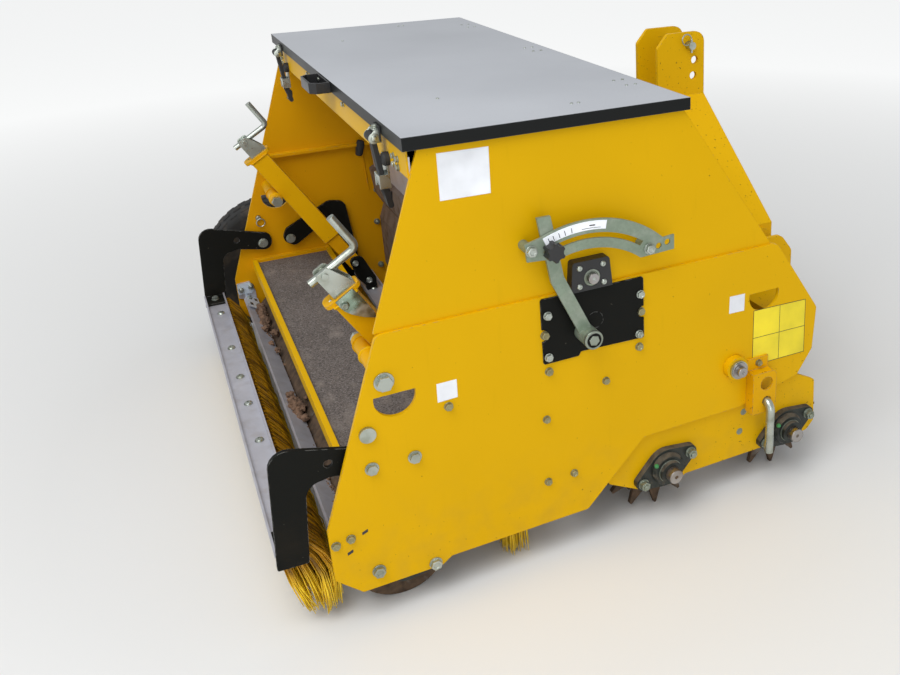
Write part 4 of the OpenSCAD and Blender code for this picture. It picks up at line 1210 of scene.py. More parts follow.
@dataclass(frozen=True)
class Lid(Assembly):
    """The lid's rivets, handle screws and latches.

    Attributes:
        top: Height of the lid's top.
        edge: Rear face of its lip.
        rivets: X and Y of the rivets on one half of it.
        latch_y: Middle of each latch, from the centre line.
        seat_out: From the lip back to the middle of a latch's seat.
        seat_half: Half that seat's length.
        seat_z: Its height.
        cheek_y: From that middle to the inner face of each steel cheek.
        cheek: X and Z of a cheek's corners.
        pivot: X and Z of the latch's pivot.
        clasp: Foot and top of the steel clasp, in X and Z.
        tail: X and Z down the rubber loop.
        tail_y: From the latch's middle to each strand of the loop.
        nub: X and Z of the rubber nub that the strap hooks over.
        nub_y: From the latch's middle to the nub, toward the right.
        handle_ys: Y of the handle's screws.
        handle_out: From the lip back to the face that they sit on.
        handle_z: Their height.
    """

    top: float = 870.0
    edge: float = -480.0
    rivets: Places = ((-159, -558), (-146, -559), (-346, -389), (-7, -476), (12, -476),
                      (-7, -424), (12, -424), (-7, 26), (12, 26))
    latch_y: float = 485.0
    seat_out: float = 6.0
    seat_half: float = 13.0
    seat_z: float = 856.0
    cheek_y: float = 15.0
    cheek: Places = ((-498, 834), (-480, 834), (-480, 856), (-490, 856), (-500, 846))
    pivot: Place = (-492, 842)
    clasp: Places = ((-482, 758), (-483.5, 777))
    tail: Places = ((-486, 766), (-484, 750), (-479, 735), (-476, 727), (-474, 733), (-473, 745))
    tail_y: float = 7.0
    nub: Place = (-472, 806)
    nub_y: float = 17.0
    handle_ys: tuple[float, ...] = (-101, -13)
    handle_out: float = 4.0
    handle_z: float = 858.0

    def top_rivets(self) -> None:
        """Makes the small rivets in the lid's top."""
        shape = Shape()
        for x, y in self.rivets:
            FIXINGS.add(shape, Head.PIN, (x, y, self.top - 0.2), UPWARD, 3.6)
        shape.mirrored()
        shape.done("lid_rivets", ZINC, "lid")

    def latch_steel(self) -> None:
        """Makes each latch's seat, bolt, cheeks, pivot and clasp."""
        steel = Shape()
        y = -self.latch_y
        x, z = self.edge - self.seat_out, self.seat_z
        steel.bar((x, y - self.seat_half, z), (x, y + self.seat_half, z), (11, 0, 0), (0, 0, 2.5))
        FIXINGS.add(steel, Head.HEX, (x + 1, y, z + 1), UPWARD, 6)
        x, z = self.pivot
        for way in WAYS:
            face = y + way * self.cheek_y
            steel.turned((x, face, z), (0, way, 0),
                         [(0, 9.2), (1.6, 9.2), (1.6, 5), (3.4, 4.6), (3.8, 3.4)])
            steel.plate(self.cheek, face, y + way * (self.cheek_y + 1.2))
        (x0, z0), (x1, z1) = self.clasp
        steel.bar((x0, y, z0), (x1, y, z1), (15, 0, 0), (0, 27, 0))
        steel.bevel(1.0)
        steel.mirrored()
        steel.done("latch_steel", ZINC, "lid")

    def latch_rubber(self) -> None:
        """Makes each latch's tail loop and nub."""
        black = Shape()
        for way in WAYS:
            y = way * self.tail_y - self.latch_y
            black.tube([(x, y, z) for x, z in self.tail], 3.4, 10)
        black.mirrored()
        x, z = self.nub
        for way in WAYS:
            black.turned((x, way * self.latch_y - self.nub_y, z), REARWARD,
                         [(0, 12), (8, 12), (11, 10), (12, 7)], 26)
        black.done("latch_rubber", RUBBER, "lid")

    def pieces(self) -> None:
        """Makes the rivets, the latches and the handle's screws."""
        self.top_rivets()
        self.latch_steel()
        self.latch_rubber()
        shape = Shape()
        for y in self.handle_ys:
            foot = (self.edge - self.handle_out, y, self.handle_z)
            FIXINGS.add(shape, Head.DOME, foot, REARWARD, 5)
        shape.done("handle_screws", ZINC, "lid")


@dataclass(frozen=True)
class RateControl(Assembly):
    """The rate quadrant's scale, its bolts and the shaft ends.

    Attributes:
        hub: X and Z of the lever's hub.
        hub_end: The hub's outer face, from the centre line.
        socket: The plane of the socket screw in it.
        hollow: The plane of the black ring round that screw, painted shade in the hub's groove.
        face: Outer face of the quadrant.
        block: Outer face of the agitator's bearing blocks.
        inner: Inner radius of the scale.
        outer: Its outer radius.
        sweep: Its first and last angle, in degrees.
        ticks: The angles of its marks.
        strokes: First and last angle of its two dashes, and how far each lies and reaches
            from the inner radius.
        seed: X and Z of the seed roller's shaft, whose hole is plugged on the right.
        plug: The plane of that plug.
        shaft: X and Z of the agitator's shaft.
        shaft_end: The plane of its end.
        ring: The plane of the rings round it.
    """

    hub: Place = (-188.0, 470.0)
    hub_end: float = 676.5
    socket: float = 677.6
    hollow: float = 676.9
    face: float = 658.0
    block: float = 642.0
    inner: float = 202.0
    outer: float = 218.0
    sweep: Place = (79, 111.5)
    ticks: tuple[float, ...] = (109, 106.5, 103.5, 100.5, 97)
    strokes: tuple[tuple[float, ...], ...] = ((82, 92, 3, 3.8), (85, 88, 7, 9))
    seed: Place = (-163.0, 485.0)
    plug: float = 629.2
    shaft: Place = (-171.0, 575.0)
    shaft_end: float = 650.0
    ring: float = 639.2
    rows = (
        BoltRow("quadrant_bolts", Head.HEX, 11, face, ((-290, 655), (-64, 614)), both=False),
        BoltRow("block_screws", Head.DOME, 6.5, block,
                ((-195, 597), (-149, 597), (-196, 562), (-148, 562))),
    )

    def at(self, place: Place, y: float) -> Point:
        """Returns a point on the right side of the machine."""
        return (place[0], -y, place[1])

    def arc(self, radius: float, start: float, end: float, steps: int = 16) -> list[Place]:
        """Lays out an arc about the hub.

        Args:
            radius: Its radius.
            start: Its first angle, in degrees.
            end: Its last angle.
            steps: Its number of steps.

        Returns:
            Its X and Z points.
        """
        x, z = self.hub
        angles = [math.radians(start + (end - start) * i / steps) for i in range(steps + 1)]
        return [(x + radius * math.cos(a), z + radius * math.sin(a)) for a in angles]

    def scale(self) -> None:
        """Makes the white scale with its marks."""
        strip, marks = Shape(), Shape()
        start, end = self.sweep
        outline = self.arc(self.outer, start, end) + self.arc(self.inner, end, start)
        strip.plate(outline, -self.face - 0.35, -self.face)
        rows = [(angle, angle + 0.35, self.inner + 2, self.outer - 5) for angle in self.ticks]
        rows += [(a, b, self.inner + low, self.inner + high) for a, b, low, high in self.strokes]
        for start, end, low, high in rows:
            outline = self.arc(high, start, end, 4) + self.arc(low, end, start, 4)
            marks.plate(outline, -self.face - 0.5, -self.face - 0.3)
        strip.done("rate_scale", LABEL, "frame")
        marks.done("rate_marks", INK, "frame")

    def rings(self) -> None:
        """Makes the hub's socket screw and the rings round the agitator's shaft."""
        shape = Shape()
        shape.turned(self.at(self.hub, self.hub_end), RIGHTWARD,
                     [(-6, 17.9), (0, 17.9), (0.8, 17.2), (0.8, 14)], 36)
        shape.turned(self.at(self.hub, self.socket), RIGHTWARD,
                     [(-0.5, 10.2), (1.2, 10.2), (1.8, 9.4)], HEXAGON)
        x, z = self.shaft
        for way in WAYS:
            shape.turned((x, way * self.ring, z), (0, way, 0),
                         [(0, 15.8), (2.4, 15.8), (2.8, 15.2), (2.8, 12.2), (1.2, 11.8)], 36)
        shape.done("shaft_rings", DULL_ZINC, "frame")

    def plug_and_groove_shade(self) -> None:
        """Makes the black ring in the hub, painted shade in its groove, and the plug in the seed
        shaft's hole.
        """
        dark = Shape()
        # The hub's groove as a black ring: painted shade.
        dark.turned(self.at(self.hub, self.hollow), RIGHTWARD, [(0, 14), (0.6, 14), (0.6, 10)],
                    36)
        dark.turned(self.at(self.seed, self.plug), RIGHTWARD,
                    [(0, 15.9), (1.4, 15.9), (1.6, 15.2)], 32)
        dark.done("shaft_plug_and_groove_shade", BLACK, "frame")

    def pieces(self) -> None:
        """Makes the scale and the shaft ends."""
        self.scale()
        self.rings()
        self.plug_and_groove_shade()
        shape = Shape()
        shape.turned(self.at(self.shaft, self.shaft_end), RIGHTWARD,
                     [(-8, 10.3), (0.2, 10.3), (0.8, 9.6), (0.8, 3.2), (-1, 2.6)], 28)
        shape.done("agitator_end", BRIGHT, "agitator")


@dataclass(frozen=True)
class Carriage(Assembly):
    """The spiked rollers' bearings and shaft ends, and the carriage's pivots.

    Attributes:
        axles: X of both axles, rear and front.
        axle_z: Their height.
        tilt: The bearings' turn, in degrees.
        reach: The bearings' bolts, from the axle.
        flange: Outer face of the bearings' flanges, from the centre line.
        collar: The plane that the locking collars stand on.
        screw: From a collar's axis to the foot of its set screw.
        screw_turn: The set screw's turn from the bearing's long axis, in radians.
        screw_y: The plane of the set screws.
        nipple: The grease nipple's foot: from the axle along X, its Y, and from the axle up.
        nipple_axis: Its direction.
        shaft_end: The plane that the bright shaft ends start at.
        pivot: X and Z of the carriage's pivot.
        pivot_end: The plane of the pivot's end.
        pivot_ring: The plane of its ring.
    """

    axles: Place = (-14.0, 286.0)
    axle_z: float = 116.0
    tilt: float = 20.0
    reach: float = 58.5
    flange: float = 632.0
    collar: float = 643.5
    screw: float = 19.0
    screw_turn: float = 1.3
    screw_y: float = 650.0
    nipple: tuple[float, float, float] = (-25, -640, 17)
    nipple_axis: tuple[float, float, float] = (-0.75, -0.45, 0.5)
    shaft_end: float = 655.0
    pivot: Place = (146.0, 304.0)
    pivot_end: float = 661.6
    pivot_ring: float = 649.8

    def bearing(self, shape: Shape, grease: Shape, x: float) -> None:
        """Adds one bearing's nuts, locking collar, set screw and grease nipple.

        Args:
            shape: The shape that takes the nuts, collar and screw.
            grease: The shape that takes the grease nipple.
            x: The axle's X.
        """
        a = math.radians(self.tilt)
        for way in WAYS:
            along = way * self.reach
            foot = (x + along * math.cos(a), -self.flange, self.axle_z + along * math.sin(a))
            FIXINGS.add(shape, Head.NUT, foot, RIGHTWARD, 12, 9.0 * way + x)
        shape.turned((x, -self.collar, self.axle_z), RIGHTWARD,
                     [(0, 25), (2, 25), (2, 22), (9.5, 22), (10.3, 21), (10.3, 16)], 36)
        out = Vector((math.cos(a + self.screw_turn), 0, math.sin(a + self.screw_turn)))
        shape.turned(Vector((x, -self.screw_y, self.axle_z)) + out * self.screw, out,
                     [(0, 3.4), (3.6, 3.4), (3.6, 1.7), (1.5, 1.5)], 12)
        foot = Vector((x, 0, self.axle_z)) + Vector(self.nipple)
        grease.turned(foot, self.nipple_axis,
                      [(0, 3.4), (5, 3.4), (5.5, 4.6), (9, 4.6), (10.5, 3.2), (12, 2.2)], 12)

    def bearings(self) -> None:
        """Makes the four flange bearings' details."""
        shape, grease = Shape(), Shape()
        for x in self.axles:
            self.bearing(shape, grease, x)
        shape.mirrored()
        grease.mirrored()
        shape.done("bearing_nuts", DULL_ZINC, "frame")
        grease.done("grease_nipples", GREEN, "frame")

    def shaft_ends(self) -> None:
        """Makes the bright shaft ends, each on its own roller."""
        for x, body in zip(self.axles, ("rear_spiked_roller", "front_spiked_roller")):
            shape = Shape()
            shape.turned((x, -self.shaft_end, self.axle_z), RIGHTWARD,
                         [(0, 15.3), (14.4, 15.3), (15.5, 14), (15.5, 4.2), (12.5, 3.2)], 32)
            shape.mirrored()
            shape.done(f"{body}_ends", BRIGHT, body)

    def pivots(self) -> None:
        """Makes each pivot's chamfered end and its thin ring."""
        shape = Shape()
        x, z = self.pivot
        shape.turned((x, -self.pivot_end, z), RIGHTWARD,
                     [(-11, 11), (0.4, 11), (1.4, 9.8), (1.4, 3), (0.4, 2.6)], 28)
        shape.turned((x, -self.pivot_ring, z), RIGHTWARD,
                     [(0, 17.6), (1.8, 17.6), (2.4, 16.8), (2.4, 11)], 32)
        shape.mirrored()
        shape.done("pivot_ends", BRIGHT, "frame")

    def pieces(self) -> None:
        """Makes the bearings, shaft ends and pivots."""
        self.bearings()
        self.shaft_ends()
        self.pivots()


@dataclass(frozen=True)
class RearRoller(Assembly):
    """The rear roller's scraper brackets and the soil that lies between scraper and deck.

    Attributes:
        x: The roller's X.
        z: Its height.
        radius: Its radius.
        half: Half the length that soil lies on.
        ends: Where the soil starts to lie thicker, from the centre line.
        clods: How many small clods lie there.
        mound: How many make the mound at the left end.
        clump: How many make the big clump.
        mound_in: From the soil's left end to the mound's end.
        mound_spread: How far the mound scatters from there.
        clump_y: Where the clump lies.
        clump_spread: How far it scatters along X and Y.
        edge: X of the scraper's edge.
        bed: The height that soil lies at there.
        foot: X and Z of the scraper's lower corner.
        along: The scraper's slope in X and Z, up to its rear edge.
        foot_rise: From that corner, square off the slope, to the bracket's foot.
        foot_run: Where the foot starts and ends up the slope.
        foot_ys: Its first and last Y, on the right.
        foot_thick: Its thickness.
        flank: X and Z of the bracket's upright flank.
        flank_ys: The flank's faces, on the right.
        slot_ys: Y of the foot's slots, on the right.
        slot_rows: How far up the slope the slots lie.
        slot_half: Half a slot's size up the slope and across the machine.
        screwed: The slots that hold a screw, by Y and row.
    """

    x: float = -551.0
    z: float = 88.0
    radius: float = 88.0
    half: float = 560.0
    ends: float = 330.0
    clods: int = 330
    mound: int = 60
    clump: int = 46
    mound_in: float = 24.0
    mound_spread: float = 95.0
    clump_y: float = -66.0
    clump_spread: Place = (8, 24)
    edge: float = -634.0
    bed: float = 136.0
    foot: Place = (-633, 134)
    along: Place = (-32, 22)
    foot_rise: float = 11.2
    foot_run: Place = (2, 39)
    foot_ys: Place = (-613, -520)
    foot_thick: float = 0.6
    flank: Places = ((-675.5, 165), (-675.5, 196), (-643, 197.5), (-633, 172), (-640, 165))
    flank_ys: Place = (-612.3, -611.6)
    slot_ys: Place = (-590, -546)
    slot_rows: Place = (11, 29)
    slot_half: Place = (4, 9)
    screwed: Places = ((-590, 29), (-546, 11))
    rows = (
        BoltRow("rear_bearing_nuts", Head.NUT, 12, 600, ((-607.5, 103), (-494.5, 73)), DULL_ZINC,
                out=-1),
    )

    def brackets(self) -> None:
        """Makes the feet, flanks and screws of the scraper's brackets, and their slots as black
        films of painted shade.
        """
        screws, slots, feet = Shape(), Shape(), Shape()
        back, rise = self.along
        across = Vector((back, 0, rise)).normalized()
        up = Vector((rise, 0, -back)).normalized()
        foot = Vector((self.foot[0], 0, self.foot[1])) + up * self.foot_rise
        (low, high), (y0, y1) = self.foot_run, self.foot_ys
        feet.slab([foot + across * a + Vector((0, y, 0))
                   for a, y in ((low, y0), (high, y0), (high, y1), (low, y1))],
                  up * self.foot_thick)
        feet.plate(self.flank, *self.flank_ys)
        foot += up * self.foot_thick
        long, wide = self.slot_half
        for y in self.slot_ys:
            for row in self.slot_rows:
                place = foot + across * row + Vector((0, y, 0))
                if (y, row) in self.screwed:
                    FIXINGS.add(screws, Head.HEX, place - up * 0.4, up, 7, row)
                # A slot is a thin black film: painted shade in its opening.
                slots.slab([place + across * s * long + Vector((0, t * wide, 0))
                            for s, t in ((-1, -1), (1, -1), (1, 1), (-1, 1))], up * 0.35)
        for shape, name, finish in ((feet, "scraper_feet", BLUE_ZINC),
                                    (screws, "scraper_screws", ZINC),
                                    (slots, "scraper_slot_shade", INK)):
            shape.mirrored()
            shape.done(name, finish, "frame")

    def crumbs(self, shape: Shape, random: Random) -> None:
        """Adds the small clods along the scraper's edge, more and larger toward its ends.

        Args:
            shape: The shape that takes them.
            random: The soil's source of scatter.
        """
        for i in range(self.clods):
            y = random.choice((random.uniform(-self.half, self.half),
                               random.uniform(self.ends, self.half),
                               random.uniform(-self.half, -self.ends)))
            r = random.uniform(1.4, 3.6) + 2.4 * max(0.0, abs(y) / self.half - 0.55)
            x = random.gauss(self.edge + 1, 3.0)
            shape.clod((x, y, self.bed + (self.edge - x) * 0.7 + r),
                       (r * 1.1, r * random.uniform(1.0, 1.7), r * 0.8), i)

    def heaps(self, shape: Shape, random: Random) -> None:
        """Adds the mound and the big clump, clear of the roller.

        Args:
            shape: The shape that takes them.
            random: The soil's source of scatter.
        """
        for i in range(self.mound + self.clump):
            r = random.uniform(4, 9)
            x = random.gauss(self.edge, 4)
            y = self.half - self.mound_in - abs(random.gauss(0, self.mound_spread))
            if i >= self.mound:
                x = random.gauss(self.edge - 3, self.clump_spread[0])
                y = self.clump_y + random.gauss(0, self.clump_spread[1])
            clear = self.radius + 5 + r
            low = self.z + math.sqrt(max(0.0, clear ** 2 - (x - self.x) ** 2))
            top = max(low, self.bed + 2 + r + random.uniform(0, 12))
            shape.clod((x, y, top), (r, r * 1.2, r * 0.9), 700 + i, 3)

    def pieces(self) -> None:
        """Makes the brackets and the soil."""
        self.brackets()
        shape, random = Shape(), Random(5)
        self.crumbs(shape, random)
        self.heaps(shape, random)
        shape.done("soil_on_scraper", EARTH, "frame", SOIL_CREASE)


@dataclass(frozen=True)
class BrushRow:
    """One row of bristle bundles under a beam, in the CAD strip's place.

    Attributes:
        name: The CAD node that it stands for.
        body: The body that it moves with.
        rear: X and Z down the row's rear face, root to tip.
        front: The same down its front face.
        ranks: The ranks of bundles, as shares from the rear face to the front.
        half: Half the row's length.
        pitch: The bundles' spacing.
        each: Bristles a bundle.
        thick: A bristle's radius.
        point: Its radius at the tip, as a share.
        bundle: A bundle's radius at the root, and what it gains to the tip.
        stray: How far single tips scatter along X and Y.
        lean: The same for whole bundles.
        trim: The shortest bristle, as a share of the row's height.
        seed: Sets the bristles' scatter.
    """

    name: str
    body: str
    rear: Places
    front: Places
    ranks: tuple[float, ...]
    half: float = 590.0
    pitch: float = 15.0
    each: int = 17
    thick: float = 1.25
    point: float = 0.55
    bundle: Place = (3.6, 5.4)
    stray: Place = (2.2, 2.6)
    lean: Place = (2.5, 3.5)
    trim: float = 0.90
    seed: int = 1

    def face(self, share: float) -> list[Vector]:
        """Returns the line from root to tip at a share of the row's width."""
        return [Vector((a[0] + (b[0] - a[0]) * share, 0, a[1] + (b[1] - a[1]) * share))
                for a, b in zip(self.rear, self.front)]

    def bristle(self, random: Random, y: float, share: float, lean: Vector) -> list[Vector]:
        """Lays out one bristle.

        Args:
            random: The row's source of scatter.
            y: Its bundle's place along the beam.
            share: Its bundle's place across the beam.
            lean: What its whole bundle leans by at the tip.

        Returns:
            Its points.
        """
        angle, reach = random.uniform(0, 2 * math.pi), random.uniform(0, 1) ** 0.5
        out = Vector((math.cos(angle), math.sin(angle), 0)) * reach
        stray = Vector((random.gauss(0, self.stray[0]), random.gauss(0, self.stray[1]), 0))
        cut = random.uniform(self.trim, 1.0)
        line = self.face(min(max(share + random.uniform(-0.06, 0.06), 0), 1))
        root = line[0].z
        path = []
        for i, spot in enumerate(line):
            t = i / (len(line) - 1)
            spread = out * (self.bundle[0] + self.bundle[1] * t) + (stray + lean) * t ** 1.6
            path.append(Vector((spot.x + spread.x, y + spread.y, root + (spot.z - root) * cut)))
        return path

    def skin(self, path: list[Vector], points: list[Vector], faces: list[tuple]) -> None:
        """Adds one bristle's three-sided skin, open at the root.

        Args:
            path: The bristle's points.
            points: The row's corners, which it adds to.
            faces: The row's faces, which it adds to.
        """
        base, last = len(points), len(path) - 1
        for k, spot in enumerate(path):
            r = self.thick * (self.point if k == last else 1.0)
            points += [spot + Vector((r, 0, 0)), spot + Vector((-r * 0.5, r * 0.87, 0)),
                       spot + Vector((-r * 0.5, -r * 0.87, 0))]
        for low in range(base, base + 3 * last, 3):
            faces += [(low + a, low + (a + 1) % 3, low + 3 + (a + 1) % 3, low + 3 + a)
                      for a in range(3)]
        tip = base + 3 * last
        faces.append((tip, tip + 1, tip + 2))

    def build(self) -> None:
        """Makes the row."""
        random = Random(self.seed)
        points, faces = [], []
        for i in range(int(2 * self.half / self.pitch) + 1):
            for rank, share in enumerate(self.ranks):
                y = -self.half + self.pitch * (i + 0.5 * (rank % 2)) + random.gauss(0, 0.8)
                lean = Vector((random.gauss(0, self.lean[0]), random.gauss(0, self.lean[1]), 0))
                for _ in range(self.each):
                    self.skin(self.bristle(random, y, share, lean), points, faces)
        mesh = bpy.data.meshes.new(f"{self.name}_bundles")
        mesh.from_pydata([(p + DATUM) * MM for p in points], [], faces)
        for polygon in mesh.polygons:
            polygon.use_smooth = True
        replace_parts(settle(mesh, FIBRE, self.body), self.name)


@dataclass(frozen=True)
class Brushes(Assembly):
    """Both brush rows, their beams' bolts and the rear arms' stop pins.

    Attributes:
        rear: X of the rear beam's middle and Z of its floor.
        mid: The same of the middle beam.
        rear_seat: The screws of the rear beam's seats, from the centre line.
        mid_seat: The same of the middle beam's.
        seat: From a beam's middle to those screws, in X and Z.
        bolt_ys: Where the beams' bolts sit.
        lug: Inner face of the middle arms' lugs, from the centre line.
        pin: X and Z of the stop pins.
        pin_y: The plane of their inner heads.
        ring: From a pin to the middle of its ring.
        ring_radius: That ring's radius.
    """

    rear: Place = (-734.0, 178.0)
    mid: Place = (-330.0, 160.0)
    rear_seat: float = 570.0
    mid_seat: float = 575.0
    seat: Place = (-4, 6)
    bolt_ys: tuple[float, ...] = (-478, -215, -50, 86, 251, 478)
    lug: float = 473.0
    pin: Place = (-590.0, 378.0)
    pin_y: float = 613.6
    ring: tuple[float, float, float] = (4, 2, -13)
    ring_radius: float = 11.0
    rows = (
        BoltRow("mid_brush_lug_bolts", Head.HEX, 9, lug, ((-372, 247), (-340, 190)),
                body="mid_brush", out=-1),
    )
    brushes = (
        BrushRow("rear_bristles", "rear_brush",
                 ((-758, 174), (-756, 137), (-748, 90), (-737, 58), (-724, 24)),
                 ((-707, 174), (-684, 140), (-671, 106), (-670, 66), (-673, 24)),
                 (0.12, 0.42, 0.72, 0.98), thick=1.5, seed=11),
        BrushRow("mid_bristles", "mid_brush",
                 ((-345, 156), (-347, 110), (-349, 60), (-350, 2)),
                 ((-315, 156), (-312, 110), (-309, 60), (-306, 2)),
                 (0.15, 0.5, 0.85), each=19, seed=12),
    )

    def beam_bolts(self) -> None:
        """Makes the domed bolts along both beams and the screws of their seats."""
        across, up = self.seat
        for (x, z), body, end in ((self.rear, "rear_brush", self.rear_seat),
                                  (self.mid, "mid_brush", self.mid_seat)):
            shape = Shape()
            for y in self.bolt_ys:
                FIXINGS.add(shape, Head.DOME, (x, y, z), UPWARD, 11)
            for y in (-end, end):
                FIXINGS.add(shape, Head.HEX, (x + across, y, z + up), UPWARD, 10, y)
            shape.done(f"{body}_bolts", ZINC, body)

    def stop_pins(self) -> None:
        """Makes each stop pin's head and its ring, on the inner side of its plate."""
        shape = Shape()
        x, z = self.pin
        shape.turned((x, -self.pin_y, z), LEFTWARD, [(-1, 6.7), (1.4, 6.7), (2.6, 5.4)], 20)
        middle = Vector((x, -self.pin_y, z)) + Vector(self.ring)
        shape.hoop(middle, (1, 0, 0.3), UPWARD, self.ring_radius, 1.6)
        shape.mirrored()
        shape.done("stop_pin_rings", ZINC, "frame")

    def pieces(self) -> None:
        """Makes the bristles, bolts and pins."""
        for brush in self.brushes:
            brush.build()
        self.beam_bolts()
        self.stop_pins()


@dataclass(frozen=True)
class Jack(Assembly):
    """One screw jack's tongue, bolts, screw thread and welds.

    Attributes:
        side: Its side of the machine.
        top: X and Z of its tube's top.
        along: The unit vector down the tube, in X and Z.
        y: Its middle, from the centre line.
        plate_half: Half the top plate's size, across the tube and across the machine.
        tongue: The bowed tongue, row by row down the tube: how far down, its two edges
            across the tube, and how far it bows out from the tube.
        tongue_y: From the jack's middle to the tongue's inner face.
        tongue_thick: The tongue's thickness.
        tongue_bolt: How far down the tube and across it the tongue's bolt sits.
        top_bolt: The same of the top plate's bolt, and how far out from the jack's middle.
        screw_top: How far down the tube the screw starts.
        thread: Crest and root radius of its thread.
        turns: How many steps the thread is drawn in.
        boss: X and Z of its swivel boss.
        boss_y: From the jack's middle to the boss's ends.
    """

    side: Side
    top: Place = (-576.0, 580.0)
    along: Place = (0.5224, -0.8527)
    y: float = 500.0
    plate_half: Place = (23, 24)
    tongue: tuple[tuple[float, ...], ...] = (
        (-8.3, -16, 20, 0), (4, -16, 22, 0.4), (14, -14.5, 22, 2.4), (24, -10, 22, 4.4),
        (34, -4, 21.7, 4.6), (44, 2, 21.4, 2.8), (52, 8, 21, 0.8), (60, 15, 17, 0))
    tongue_y: float = 23.3
    tongue_thick: float = 3.0
    tongue_bolt: Place = (6, -8)
    top_bolt: tuple[float, float, float] = (-4, -19.8, 4)
    screw_top: float = -30.0
    thread: Place = (8.2, 7.2)
    turns: int = 40
    boss: Place = (-552.0, 467.0)
    boss_y: float = 23.2

    def at(self, down: float, across: float, y: float) -> Vector:
        """Returns a point down the tube and across it to the front, at a Y."""
        u, v = self.along
        return Vector((self.top[0] + u * down - v * across, y,
                       self.top[1] + v * down + u * across))

    def steel(self) -> Shape:
        """Draws the tongue, its bolts and the screw thread.

        Returns:
            The shape, on the machine's right.
        """
        shape = Shape()
        shape.rings([[self.at(d, c, -self.y - self.tongue_y - bow - t)
                      for c, t in ((low, 0), (high, 0), (high, self.tongue_thick),
                                   (low, self.tongue_thick))]
                     for d, low, high, bow in self.tongue])
        shape.bevel(0.6)
        outer = -self.y - self.tongue_y - self.tongue_thick
        FIXINGS.add(shape, Head.HEX, self.at(*self.tongue_bolt, outer), RIGHTWARD, 8)
        origin = self.at(0, 0, 0)
        down, across, out = self.top_bolt
        FIXINGS.add(shape, Head.HEX, self.at(down, across, -self.y - out),
                    self.at(0, -1, 0) - origin, 6)
        crest, root = self.thread
        rows = [(7 + 0.5 * k, crest if k % 4 < 2 else root) for k in range(self.turns)]
        shape.turned(self.at(self.screw_top, 0, -self.y), self.at(1, 0, 0) - origin, rows, 20)
        return shape

    def paint(self) -> Shape:
        """Draws the welds round the tube's top and the swivel boss's ends.

        Returns:
            The shape, on the machine's right.
        """
        shape = Shape()
        c, d = self.plate_half
        for (c0, y0), (c1, y1) in sides_of(((-c, -d), (c, -d), (c, d), (-c, d))):
            shape.weld(self.at(0.6, c0, -self.y + y0), self.at(0.6, c1, -self.y + y1), 2.2, 7)
        x, z = self.boss
        shape.turned((x, -self.y + self.boss_y, z), LEFTWARD, [(0, 17.5), (2, 17), (4, 15.2)], 28)
        shape.turned((x, -self.y - self.boss_y, z), RIGHTWARD, [(0, 18), (2, 17), (4, 15.2)], 28)
        return shape

    def pieces(self) -> None:
        """Makes the jack's steel and its painted details."""
        body = f"jack_{self.side.name.lower()}"
        steel, paint = self.steel(), self.paint()
        if self.side is Side.LEFT:
            steel.swapped()
            paint.swapped()
        steel.done(f"{body}_steel", REFLECTION_PAINTED_ZINC, body)
        paint.done(f"{body}_welds", YELLOW, body, WELD_CREASE)


@dataclass(frozen=True)
class Hitch(Assembly):
    """The headstock's lynch pin, top link pin's end and weld beads.

    Attributes:
        pin: X and Z of the top link pin.
        lynch_y: Y of the lynch pin that holds it.
        lynch_ends: The lynch pin's ends, up from the top link pin.
        lynch_ring: The radius of its ring.
        far_end: Y of its other end.
        mast_x: Rear and front edge of the headstock's legs.
        mast_y: The beads on its cross plate, from the centre line.
        mast_z: Their height.
        cheek_ys: Faces of the hitch cheeks, from the centre line.
        beam: X of the front beam's front face and Z of its top, at the beads.
        top_run: First and last X of the beads on its top.
        front_run: First and last Z of the beads up its front.
    """

    pin: Place = (389.0, 850.0)
    lynch_y: float = -69.0
    lynch_ends: Place = (-17, 15)
    lynch_ring: float = 13.0
    far_end: float = 63.0
    mast_x: Place = (302.0, 434.0)
    mast_y: float = 50.0
    mast_z: float = 727.5
    cheek_ys: tuple[int, int] = (355, 425)
    beam: Place = (343.0, 380.5)
    top_run: Place = (272, 340)
    front_run: Place = (302, 372)

    def top_pin(self) -> None:
        """Makes the lynch pin with its ring and the top link pin's turned end."""
        x, z = self.pin
        y = self.lynch_y
        steel = Shape()
        low, high = self.lynch_ends
        steel.tube([(x, y, z + low), (x, y, z + high)], 3.2, 12)
        steel.hoop((x - self.lynch_ring, y, z + high), (1, 0, 0), UPWARD, self.lynch_ring, 1.6)
        steel.turned((x, self.far_end, z), LEFTWARD,
                     [(-7, 16.2), (0, 16.2), (1.6, 14.6), (1.6, 4), (0.6, 3)], 28)
        steel.done("lynch_pin", ZINC, "frame")

    def welds(self) -> None:
        """Makes the beads of the hitch cheeks and the headstock."""
        paint = Shape()
        front, top = self.beam
        (x0, x1), (z0, z1) = self.top_run, self.front_run
        for way in WAYS:
            for y in self.cheek_ys:
                paint.weld((x0, way * y, top), (x1, way * y, top), 3, y)
                paint.weld((front, way * y, z0), (front, way * y, z1), 3, y + 1)
        rear, fore = self.mast_x
        for y, seed in ((-self.mast_y, 21), (self.mast_y, 22)):
            paint.weld((rear + 2, y, self.mast_z), (fore - 2, y, self.mast_z), 2.2, seed)
        paint.done("hitch_welds", YELLOW, "frame", WELD_CREASE)

    def pieces(self) -> None:
        """Makes the pin and the weld beads."""
        self.top_pin()
        self.welds()


